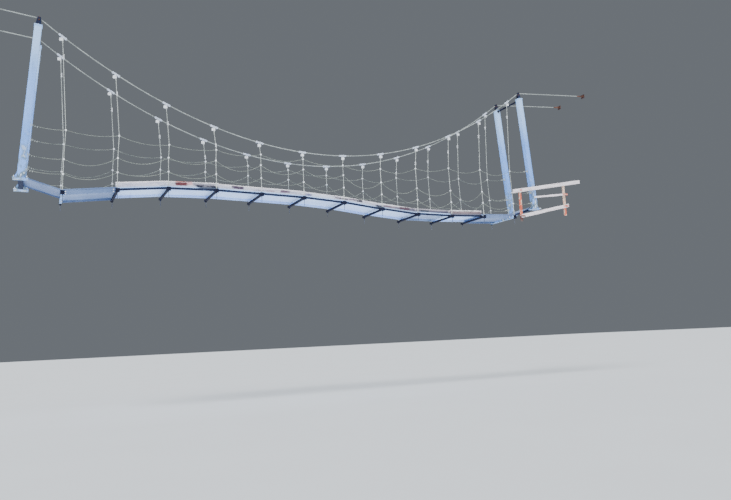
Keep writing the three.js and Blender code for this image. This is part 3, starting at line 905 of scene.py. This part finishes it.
def hanger_foot():
    """The hanger's lower end on a beam: a washer, a nut, a stud and a sleeve on the rope."""
    s = Shape("hanger")
    s.disc((0, 0, BEAM_TOP), UP, 0.022, 0.004, 20)
    s.turned([(0.016, 0), (0.016, 0.012), (0.0145, 0.014)], (0, 0, BEAM_TOP + 0.004), UP, 6)
    s.stud((0, 0, BEAM_TOP + 0.010), (0, 0, BEAM_TOP + 0.075), 0.008)
    sleeve = [(0.0125, 0), (0.0135, 0.004), (0.0135, 0.060),
              (0.0115, 0.085), (0.0115, 0.150), (0.0095, 0.160)]
    s.turned(sleeve, (0, 0, BEAM_TOP + 0.060), UP, 16)
    return s


def wire_clip(s, level, saddle, bow, bar, nut):
    """A clip round a rope along Z: a saddle, a bow of round bar and two nuts on its legs."""
    half, inner, outer, deep = saddle
    across_flats, height = nut
    s.box((-half, inner, level - deep), (half, outer, level + deep), 0.002)
    tip = outer + height + 0.001
    line = [(bow, tip), *arc(bow, 0, -180, 8), (-bow, tip)]
    for (a, b), (c, d) in zip(line, line[1:]):
        s.rod((a, b, level), (c, d, level), bar, 6)
    for x in (-bow, bow):
        s.disc((x, outer, level), AWAY, across_flats, height)


def end_clip():
    s = Shape("hanger")
    wire_clip(s, 0, (0.016, 0.005, 0.017, 0.008), 0.0105, 0.0032, (0.0065, 0.006))
    return s


def hanger_splice():
    """Two clips that hold a hanger's turned-back end, the rope along Z."""
    s = Shape("zinc")
    for level in (-0.030, 0.030):
        wire_clip(s, level, (0.019, 0.004, 0.020, 0.010), 0.0135, 0.0040, (0.0080, 0.007))
    tail = [(0.006, 0), (0.008, 0.004), (0.008, 0.116), (0.006, 0.120)]
    s.turned(tail, (0.010, -0.004, -0.060), UP, 10)
    return s


def make_side_net(place, y):
    node = f"{place}_side_net"
    hangers = [hanger_route(n, y) for n in BEAMS]
    below_head, above_foot = Vector((0, 0, -IN_THIMBLE)), Vector((0, 0, IN_SLEEVE))
    lines = [[head + below_head, *clips, foot + above_foot] for head, *clips, foot in hangers]
    rope(f"{place}_hanger_ropes", lines, "hanger", node)
    hand_lines = [hand_rope_line(row, hangers, y) for row in range(len(ROPE_ROWS))]
    rope(f"{place}_hand_ropes", hand_lines, "hand", node)

    on_cable, below, heads, splices, crossings = [], [], [], [], []
    for head, *clips, _ in hangers:
        tilt = math.atan(2 * CABLE_RISE * (head.x - MID_X))
        aim = Vector((-math.sin(tilt), 0, math.cos(tilt)))
        on_cable.append((head, aim, (math.cos(tilt), 0, math.sin(tilt))))
        below.append((head + (aim - Vector(UP)) * STEM_PIN, UP, AHEAD))
        heads.append((head, UP, AHEAD))
        crossings += [(clip, UP, AHEAD) for clip in clips]
        run = head - clips[0]
        if run.length > SPLICE_BELOW + 0.1:
            splices.append((head - run.normalized() * SPLICE_BELOW, run.normalized(), AHEAD))
    feet = [(Vector((station_x(n), y, deck_level(n))), UP, AHEAD) for n in BEAMS]
    for name, shape, spots in (
        ("cable_clamps", cable_clamp(), on_cable),
        ("hanger_stems", hanger_stem(), below),
        ("hanger_thimbles", hanger_thimble(), heads),
        ("hanger_splices", hanger_splice(), splices),
        ("rope_clips", rope_crossing(), crossings),
        ("hanger_feet", hanger_foot(), feet),
    ):
        copies(f"{place}_{name}", shape, spots, "wire_rope", node)
    make_rope_ends(place, node, hand_lines)


def make_rope_ends(place, node, hand_lines):
    """Eyes on the tower legs, and two clips on each rope behind them."""
    half = EYE_THICKNESS / 2
    pad = rounded(0.050, 0.090, 0.010)
    clips = []
    eyes = Shape("hanger")
    for line in hand_lines:
        for end, inner in ((line[0], line[3]), (line[-1], line[-4])):
            along = (inner - end).normalized()
            clips += [(end + along * reach, along, RIVERWARDS) for reach in (0.10, 0.16)]
            out = -1 if end.x > MID_X else 1
            eyes.frame = Matrix.Translation(end) @ Matrix.Rotation(LEAN * out, 4, "Y")
            eyes.loft([[(x, a, b) for a, b in pad] for x in (-half * out, 0)], 0.001)
            eyes.rod((-half * out, 0, 0), (0.022 * out, 0, 0), 0.007, 10)
            eyes.ring((0.036 * out, 0, 0), AWAY, 0.017, 0.0055)
            for b in (-0.032, 0.032):
                eyes.bolt((0, 0, b), (out, 0, 0), 0.008)
    eyes.piece(f"{place}_rope_eyes", "wire_rope", node)
    copies(f"{place}_end_clips", end_clip(), clips, "wire_rope", node)


# Deck: beams, stringers, sheets and kerbs
def deck_line(start, end, over):
    """The line of beam levels: level over each beam and straight between them."""
    line = []
    for n in range(start, end + 1):
        before = over if n == start else BEAM_WIDTH / 2
        after = over if n == end else BEAM_WIDTH / 2
        line += [(station_x(n) - before, deck_level(n)), (station_x(n) + after, deck_level(n))]
    return line


def strip(shape, line, section, above=0.0, bevel=0.0):
    """A section in Y and Z carried along a line of X and Z, raised by above."""
    shape.loft([[(x, y, z + above + up) for y, up in section] for x, z in line], bevel)


def level_on(line, x):
    for (x1, z1), (x2, z2) in zip(line, line[1:]):
        if x <= x2:
            return z1 + (z2 - z1) * (x - x1) / (x2 - x1)
    return line[-1][1]


def make_beam(n):
    """A box section with a bolted plate at each end, and the nuts of a hanger below it."""
    number = n - FIRST + 1
    landing = n < EDGE_FIRST or n > EDGE_LAST
    s = Shape("leg" if landing else "pitch")
    s.frame = Matrix.Translation((station_x(n), 0, deck_level(n)))
    half = HALF_WIDTH + BEAM_OVERHANG
    inside = half - END_PLATE_THICKNESS
    s.plate(rounded(BEAM_WIDTH, BEAM_HEIGHT, 0.007), -inside, inside)
    for end in (-1, 1):
        s.use("pitch")
        face, back = end * half, end * inside
        (wide, high), bolt = (NEAR_PLATE, 0.009) if end < 0 else (FAR_PLATE, 0.0065)
        s.plate(rounded(wide, high, 0.010), face, back, 0.0015)
        s.plate(rounded(BEAM_WIDTH + 0.010, BEAM_HEIGHT + 0.010, 0.012), back, back - end * 0.006, 0.003)
        for x, z in corners(wide / 2 - 0.015, high / 2 - 0.015):
            s.bolt((x, face, z), (0, end, 0), bolt)
        y = end * HALF_WIDTH
        s.box((-0.032, y - 0.032, -BEAM_TOP - 0.008), (0.032, y + 0.032, -BEAM_TOP), 0.0015)
        for level in (0.008, 0.024):
            s.turned([(0.0165, 0), (0.0165, 0.013), (0.015, 0.015)], (0, y, -BEAM_TOP - level), DOWN, 6)
        if not landing:
            side, outer = end * DECK_HALF, end * (DECK_HALF + 0.006)
            s.box((-0.022, side, -BEAM_TOP), (0.022, outer, BEAM_TOP + 0.040), 0.001)
            s.bolt((0, outer, BEAM_TOP + 0.022), (0, end, 0), 0.0085)
        s.use("thread")
        s.stud((0, y, -BEAM_TOP - 0.03), (0, y, -BEAM_TOP - 0.200), 0.0088, 0.004)
    s.piece(f"beam_{number}", "leg_paint" if landing else "dark_steel", f"cross_beam_{number}")


def panel_foot(n):
    """How high a panel's underside is: on the stringers, or on the beams where these are missing."""
    return SHEET_ABOVE if EDGE_FIRST <= n < EDGE_LAST else STRINGER_ABOVE


def rivet_row(s, x, reach, z):
    """Seven flat rivets across the deck."""
    for i in range(-3, 4):
        s.turned([(0.011, 0), (0.0095, 0.003), (0.005, 0.0055)], (x, i * reach / 3, z), UP, 10)


def make_panel(number, n):
    """A floor panel of folded sheet; in a landing bay its lips lie over a deeper body."""
    landing = not EDGE_FIRST <= n < EDGE_LAST
    base = "trough" if landing else "sheet"
    s = Shape(base)
    line = deck_line(n, n + 1, -SEAM)
    body = DECK_HALF - STRINGER_THICKNESS - GAP
    foot = panel_foot(n)
    lip = SHEET_ABOVE - foot
    top = lip + SHEET_THICKNESS
    section = [(-DECK_HALF, lip), (-DECK_HALF, top), (DECK_HALF, top), (DECK_HALF, lip)]
    if lip:
        section += [(body, lip), (body, 0), (-body, 0), (-body, lip)]
    strip(s, line, section, foot, 0.002)
    if not landing:
        s.recolour("side", lambda centre: abs(centre.y) > DECK_HALF - 0.0005)
        s.use(base)
    beside, hem, half = BEAM_WIDTH / 2 + 0.004, 0.055, body - 0.01
    x1, x2 = line[0][0], line[-1][0]
    for low, high in ((x1 + beside, x1 + beside + hem), (x2 - beside - hem, x2 - beside)):
        ends = [(low, level_on(line, low)), (high, level_on(line, high))]
        strip(s, ends, [(-half, -HEM_DEPTH), (half, -HEM_DEPTH), (half, 0.001), (-half, 0.001)], foot)
    s.use("zinc")
    for x in (x1 + 0.016, x2 - 0.016):
        rivet_row(s, x, DECK_HALF - TOE_THICKNESS - 0.05, level_on(line, x) + foot + top)
    s.piece(f"floor_panel_{number}", "zinc_sheet", f"deck_sheet_{number}")


def make_underside_rivets():
    """Two rows of rivets below both ends of every panel."""
    spots = []
    columns = 14
    for n in range(FIRST, LAST):
        line = deck_line(n, n + 1, -SEAM)
        for end, inwards in ((line[0][0], 1), (line[-1][0], -1)):
            for row in (0.042, 0.070):
                x = end + inwards * row
                level = level_on(line, x) + panel_foot(n) - HEM_DEPTH
                for i in range(columns):
                    y = (i / (columns - 1) * 2 - 1) * (DECK_HALF - 0.06)
                    spots.append(((x, y, level), DOWN, AHEAD))
    s = Shape("sheet")
    s.turned([(0.0075, 0), (0.0065, 0.0025), (0.003, 0.0045)], (0, 0, 0), UP, 8)
    copies("underside_rivets", s, spots, "zinc_sheet")


def make_channel(side, n, place, edge):
    """A folded channel beside the last panel, from beam to beam."""
    s = Shape("trough")
    reach = BEAM_WIDTH / 2 + GAP
    line = [(station_x(n) + reach, deck_level(n)), (station_x(n + 1) - reach, deck_level(n + 1))]
    wall = 0.004
    inner = edge * (DECK_HALF + GAP)
    outer = inner + edge * CHANNEL_THICKNESS
    hollow = outer - edge * wall
    low, high = -CHANNEL_BELOW, CHANNEL_ABOVE
    strip(s, line, [(inner, low), (outer, low), (outer, high), (inner, high), (inner, high - wall),
                    (hollow, high - wall), (hollow, low + wall), (inner, low + wall)], bevel=0.001)
    s.use("zinc")
    for x in (line[0][0] + 0.045, line[1][0] - 0.045):
        for up in (0.005, 0.060):
            s.bolt((x, outer, level_on(line, x) + up), (0, edge, 0), 0.009)
    s.piece(f"{side}_{place}_edge_channel", "leg_paint", f"{side}_{place}_landing_channel")


def make_stringer(place, edge):
    """A flat bar on edge, dark outside, with the pale sheet finish on its inner face."""
    s = Shape("dark")
    middle = edge * (DECK_HALF - STRINGER_THICKNESS / 2)
    bar = rounded(STRINGER_THICKNESS, STRINGER_HEIGHT, 0.0025, 2, low=True)
    line = deck_line(EDGE_FIRST, EDGE_LAST, EDGE_OVER)
    strip(s, line, [(middle + a, b) for a, b in bar], STRINGER_ABOVE)
    s.recolour("sheet", lambda centre: abs(centre.y) < DECK_HALF - STRINGER_THICKNESS * 0.6)
    s.piece(f"{place}_edge_stringer", "dark_steel", f"{place}_stringer")


def plank_height(n):
    return next(height for end, height in TOE_PLANKS if n <= end)


def kerb_ring(x, low, tall, edge):
    """A kerb plank's section at a place, its outer top edge worn round."""
    inner, outer = edge * (DECK_HALF - TOE_THICKNESS), edge * DECK_HALF
    wear = 0.004 * noise.noise(Vector((x * 2.1, edge * 5.0, 0.3)))
    bend = 0.016 + 0.12 * tall + 0.010 * noise.noise(Vector((x * 1.3, edge * 3.0, 7.7)))
    high = low + tall - 0.002 + wear * 0.5
    worn = [(outer - edge * (bend - b), high - (bend - a)) for a, b in reversed(arc(bend, 0, 90, 4))]
    ring = [(inner, low + 0.003), (inner + edge * 0.003, low), (outer - edge * 0.004, low),
            (outer, low + 0.005), *worn, (inner + edge * 0.005, high), (inner, high - 0.005)]
    return [(x, y, z) for y, z in ring]


def make_kerb(place, edge):
    """Sawn planks end to end along the sheets' edge, bolted at every beam."""
    s = Shape("kerb")
    line = deck_line(EDGE_FIRST, EDGE_LAST, EDGE_OVER)
    start, joint, step = EDGE_FIRST, 0.002, 0.150
    for end, tall in TOE_PLANKS:
        x1 = line[0][0] if start == EDGE_FIRST else station_x(start) + joint
        x2 = line[-1][0] if end == EDGE_LAST else station_x(end) - joint
        count = math.ceil((x2 - x1) / step)
        places = [x1 + (x2 - x1) * i / count for i in range(count + 1)]
        s.loft([kerb_ring(x, level_on(line, x) + TOE_ABOVE, tall, edge) for x in places])
        start = end
    s.use("zinc")
    for n in range(EDGE_FIRST, EDGE_LAST + 1):
        z = deck_level(n) + TOE_ABOVE + plank_height(n) * 0.45
        s.bolt((station_x(n), edge * DECK_HALF, z), (0, edge, 0), 0.009)
    s.piece(f"{place}_kerb_planks", "bleached_timber", f"{place}_toe_board")


def make_landing(side):
    """A pan of folded sheet from its foot bar on the last beam up to the sill, and level over it."""
    n, out, sill = (LAST, 1, 0) if side == "right" else (FIRST, -1, LEFT_FOOT_X)
    start = station_x(n)
    low = deck_level(n) + SHEET_ABOVE
    line = [(start + out * SEAM, low), (start + out * RAMP_FLAT, low),
            (sill - out * SILL_REACH, SILL_TOP), (sill + out * SILL_REACH, SILL_TOP)]
    s = Shape("trough")
    deep, wall, half = SHEET_THICKNESS, 0.006, DECK_HALF
    within = half - wall
    under = deep - wall
    strip(s, line, [(-half, 0), (-half, deep), (half, deep), (half, 0),
                    (within, 0), (within, under), (-within, under), (-within, 0)])
    lip = [(-within, 0), (-within, under), (within, under), (within, 0)]
    for (x, z), inwards in ((line[0], out * wall), (line[-1], -out * wall)):
        strip(s, [(x, z), (x + inwards, z)], lip)
    foot = deck_level(n) + STRINGER_ABOVE
    bar = half - 0.002
    s.box((start + out * SEAM, -bar, foot), (start + out * BEAM_WIDTH / 2, bar, low + under), 0.001)
    s.use("zinc")
    for x, z in ((line[0][0] + out * 0.018, low), (line[-1][0] - out * 0.025, SILL_TOP)):
        rivet_row(s, x, half - 0.06, z + deep)
    s.piece(f"{side}_ramp_sheet", "zinc_sheet", f"{side}_landing_plate")


# Towers, built at the right foot and turned round for the left one
TOWER_PLACE = {
    "right": Matrix.Identity(4),
    "left": Matrix.Translation((LEFT_FOOT_X, 0, 0)) @ Matrix.Rotation(math.pi, 4, "Z"),
}
LEANING = Matrix.Rotation(-LEAN, 4, "Y")
CROSSBAR_ALONG, CROSSBAR_SIDE = 4.150, 0.050


def make_leg(side, place, y):
    """A box section with a bolted cap, on a base plate with two gussets and four studs."""
    s = Shape("leg")
    stand = TOWER_PLACE[side] @ Matrix.Translation((0, y, 0))
    s.frame = stand @ LEANING
    top = CAP_TOP - 0.016
    s.tall(rounded(LEG_SIDE, LEG_SIDE, 0.016, 4), 0.012, top)
    s.tall(rounded(LEG_SIDE + 0.02, LEG_SIDE + 0.03, 0.006), top, CAP_TOP, 0.002)
    s.tall(rounded(LEG_SIDE + 0.012, LEG_SIDE + 0.012, 0.02, 4), top - 0.006, top + 0.001, 0.003)
    s.use("zinc")
    bolt_out = 0.09212
    for a in (bolt_out, -bolt_out):
        s.bolt((0, a, CAP_TOP), UP, 0.009)
    s.use("leg")
    s.frame = stand
    s.box((-PLATE_X / 2, -PLATE_Y / 2, 0), (PLATE_X / 2, PLATE_Y / 2, PLATE_THICKNESS), 0.003)
    weld = rounded(LEG_SIDE + 0.022, LEG_SIDE + 0.022, 0.024, 4)
    s.tall(weld, PLATE_THICKNESS - 0.002, PLATE_THICKNESS + 0.007, 0.004)
    half = LEG_SIDE / 2
    gusset = [(-half - 0.07, 0.018), (half + 0.07, 0.018), (half - 0.03, 0.19), (-half, 0.19)]
    s.cheeks(gusset, half - 0.037, half - 0.025, 0.002)
    s.use("zinc")
    for x, a in corners(0.150, 0.115):
        s.bolt((x, a, PLATE_THICKNESS), UP, 0.016)
        s.stud((x, a, PLATE_THICKNESS), (x, a, PLATE_THICKNESS + 0.045), 0.009)
    s.piece(f"{side}_tower_{place}_post", "leg_paint", f"{side}_tower_{place}_leg")


def make_saddle(side, place, y):
    """A grooved wheel between two cheeks on the leg's cap, with a keeper over the cable."""
    s = Shape("dark")
    s.frame = TOWER_PLACE[side] @ Matrix.Translation((0, y, 0)) @ LEANING
    shoe, inside, face = CAP_TOP + 0.012, 0.026, 0.034
    s.box((-0.075, -0.050, CAP_TOP + GAP), (0.075, 0.050, shoe), 0.002)
    crown = [(a * 1.15, CABLE_DISTANCE - 0.006 + b) for a, b in arc(0.040, 0, 180, 8)]
    s.cheeks([(-0.072, shoe - 0.002), (0.072, shoe - 0.002), *crown], inside, face, 0.0015)
    s.use("rust")
    groove, rim, hub = 0.042, 0.052, 0.020
    axle, keeper = CABLE_DISTANCE - CABLE_RADIUS - groove, CABLE_DISTANCE + 0.021
    wheel = [(hub, 0), (rim, 0.002), (rim, 0.006), (groove, 0.020),
             (groove, 0.026), (rim, 0.040), (rim, 0.044), (hub, 0.046)]
    s.turned(wheel, (0, -0.023, axle), AWAY, 28)
    s.rod((0, -0.050, axle), (0, 0.050, axle), 0.010, 14)
    s.rod((0, -0.044, keeper), (0, 0.044, keeper), 0.006, 10)
    s.heads(0, axle, face, 0.015)
    s.heads(0, keeper, face, 0.009)
    for x, a in corners(0.055, 0.043):
        s.bolt((x, a, shoe), UP, 0.006, washer=False)
    s.piece(f"{side}_tower_{place}_wheel", "dark_steel", f"{side}_tower_{place}_saddle")


def make_anchor(side, place, y):
    """The backstay's end: a socket on the cable, a pin in a web and a bolted plate on the rock."""
    s = Shape("rust")
    along = Vector((1, 0, BACK_SLOPE))
    s.frame = TOWER_PLACE[side] @ Matrix.Translation((ANCHOR_REACH, y, ANCHOR_LEVEL))
    socket = [(0.015, 0), (0.018, 0.02), (0.023, 0.17), (0.024, 0.20), (0.021, 0.21)]
    s.turned(socket, along * -0.13, along, 20)
    level_from, pin, rock, face = 0.120, 0.110, 0.170, 0.020
    s.frame = s.frame @ Matrix.Translation((0, 0, BACK_SLOPE * level_from))
    fork = [(0.045, -0.020), (0.125, -0.027), (0.138, 0), (0.125, 0.027), (0.045, 0.020)]
    s.cheeks(fork, 0.012, face, 0.0015)
    web = [(0.085, -0.018), (rock + 0.002, -0.040), (rock + 0.002, 0.040), (0.085, 0.018)]
    s.plate(web, -0.010, 0.010, 0.0015)
    s.rod((pin, -0.032, 0), (pin, 0.032, 0), 0.011, 14)
    s.heads(pin, 0, face, 0.015)
    s.box((rock, -0.075, -0.075), (rock + 0.020, 0.075, 0.075), 0.003)
    s.use("dark")
    for a, b in corners(0.052, 0.052):
        s.bolt((rock, a, b), (-1, 0, 0), 0.011)
        s.stud((rock, a, b), (rock - 0.035, a, b), 0.008)
    s.piece(f"{side}_{place}_rock_anchor", "rusty_steel", f"{side}_{place}_anchor")


def make_crossbar(side):
    """A box section between the legs, with a bolted flange at each end."""
    s = Shape("pitch")
    s.frame = TOWER_PLACE[side] @ LEANING @ Matrix.Translation((0, 0, CROSSBAR_ALONG))
    inside = HALF_WIDTH - LEG_SIDE / 2 - GAP
    flange = inside - 0.008
    s.plate(rounded(CROSSBAR_SIDE, CROSSBAR_SIDE, 0.007), -inside, inside)
    s.cheeks(rounded(0.110, 0.110, 0.008), flange, inside, 0.001)
    s.use("zinc")
    for end in (-1, 1):
        for x, z in corners(0.040, 0.040):
            s.bolt((x, end * flange, z), (0, -end, 0), 0.008)
    s.piece(f"{side}_tower_tie", "dark_steel", f"{side}_tower_crossbar")


def make_sill(side):
    s = Shape("dark")
    s.frame = TOWER_PLACE[side]
    half = HALF_WIDTH - PLATE_Y / 2 - GAP
    s.box((-SILL_REACH, -half, 0), (SILL_REACH, half, SILL_HEIGHT), 0.006, 2)
    s.piece(f"{side}_tower_bearer", "dark_steel", f"{side}_tower_sill")


def make_tower(side):
    for place, y in SIDES:
        turned_y = y if side == "right" else -y
        make_leg(side, place, turned_y)
        make_saddle(side, place, turned_y)
        make_anchor(side, place, turned_y)
    make_crossbar(side)
    make_sill(side)
    make_landing(side)


# Approach fence: rough planks on the outer face of the near leg and of two posts
FENCE_Y = -HALF_WIDTH - LEG_SIDE / 2 - GAP
RAIL_THICKNESS, POST_WIDTH, POST_DEPTH = 0.045, 0.090, 0.050
FENCE_FRONT = FENCE_Y - RAIL_THICKNESS

# Each post's place, foot and top, and each rail's two ends in X and Z and its height
POSTS = ((-0.700, -0.475, 0.680), (1.410, -0.170, 1.050))
RAILS = {
    "top_rail": ((-1.040, 0.600), (2.205, 1.164), 0.140),
    "middle_rail": ((-0.060, 0.440), (1.440, 0.630), 0.070),
    "bottom_board": ((-0.720, -0.295), (1.560, 0.212), 0.130),
}
RAILS_ON_POSTS = (("top_rail", "bottom_board"), ("top_rail", "middle_rail", "bottom_board"))


def make_rail(name, start, end, height):
    """A rough plank whose edges wander a little."""
    (x1, z1), (x2, z2) = start, end
    s = Shape(rail_timber(math.atan2(z2 - z1, x2 - x1)))
    steps = math.ceil((x2 - x1) / 0.080)
    wander = 0.004
    rings = []
    for t in (i / steps for i in range(steps + 1)):
        x, z = x1 + (x2 - x1) * t, z1 + (z2 - z1) * t
        top, low = (wander * noise.noise(Vector((x * 3, len(name), seed))) for seed in (1.5, 6.5))
        top, low = top + height / 2 - wander, low - height / 2 + wander
        outline = rounded(RAIL_THICKNESS - 0.002, top - low, 0.006, 2)
        rings.append([(x, FENCE_Y - RAIL_THICKNESS / 2 + a, z + (top + low) / 2 + b) for a, b in outline])
    s.loft(rings)
    s.piece(f"fence_{name}_plank", "pale_timber", f"fence_{name}")


def rail_level(rail, x):
    (x1, z1), (x2, z2), _ = RAILS[rail]
    return z1 + (z2 - z1) * (x - x1) / (x2 - x1)


def make_post(number, x, foot, top):
    """A flat post. Bolted straps hold its rails, and two bolts the top rail of the second post."""
    s = Shape("red")
    middle = FENCE_Y + GAP + POST_DEPTH / 2
    s.tall([(x + a, middle + b) for a, b in rounded(POST_WIDTH, POST_DEPTH, 0.006)], foot, top, 0.0015)
    for rail in RAILS_ON_POSTS[number - 1]:
        level = rail_level(rail, x)
        if rail == "top_rail" and number == 2:
            s.use("zinc")
            for b in (-0.035, 0.035):
                s.bolt((x, FENCE_FRONT, level + b), RIVERWARDS, 0.009)
        else:
            half = 0.045 if rail == "top_rail" else 0.125
            strap = FENCE_FRONT - 0.005
            s.use("red")
            s.box((x - half, strap, level - 0.030), (x + half, FENCE_FRONT, level + 0.030), 0.0015)
            s.use("zinc")
            for a in (-half * 0.7, half * 0.7):
                s.bolt((x + a, strap, level), RIVERWARDS, 0.008)
    s.piece(f"fence_upright_{number}", "red_paint", f"fence_post_{number}")


def make_leg_bolts():
    """Bolts that hold the top and middle rails on the near leg."""
    s = Shape("zinc")
    for rail in ("top_rail", "middle_rail"):
        middle = -math.tan(LEAN) * rail_level(rail, -0.04)
        for x in (middle - 0.045, middle + 0.045):
            s.bolt((x, FENCE_FRONT, rail_level(rail, x)), RIVERWARDS, 0.009)
    s.piece("fence_leg_bolts", "wire_rope")


# The studio and the whole bridge
make_camera()
make_floor()
make_light()
for place, y in SIDES:
    rope(f"{place}_cable_rope", [cable_route(y)], "cable", f"{place}_main_cable")
for place, y in SIDES:
    make_side_net(place, y)
for n in BEAMS:
    make_beam(n)
for number, n in enumerate(range(FIRST, LAST), 1):
    make_panel(number, n)
make_underside_rivets()
for place, edge in (("near", -1), ("far", 1)):
    make_stringer(place, edge)
    make_kerb(place, edge)
    make_channel("left", FIRST, place, edge)
    make_channel("right", LAST - 1, place, edge)
for side in ("right", "left"):
    make_tower(side)
for name, (start, end, height) in RAILS.items():
    make_rail(name, start, end, height)
for number, (x, foot, top) in enumerate(POSTS, 1):
    make_post(number, x, foot, top)
make_leg_bolts()
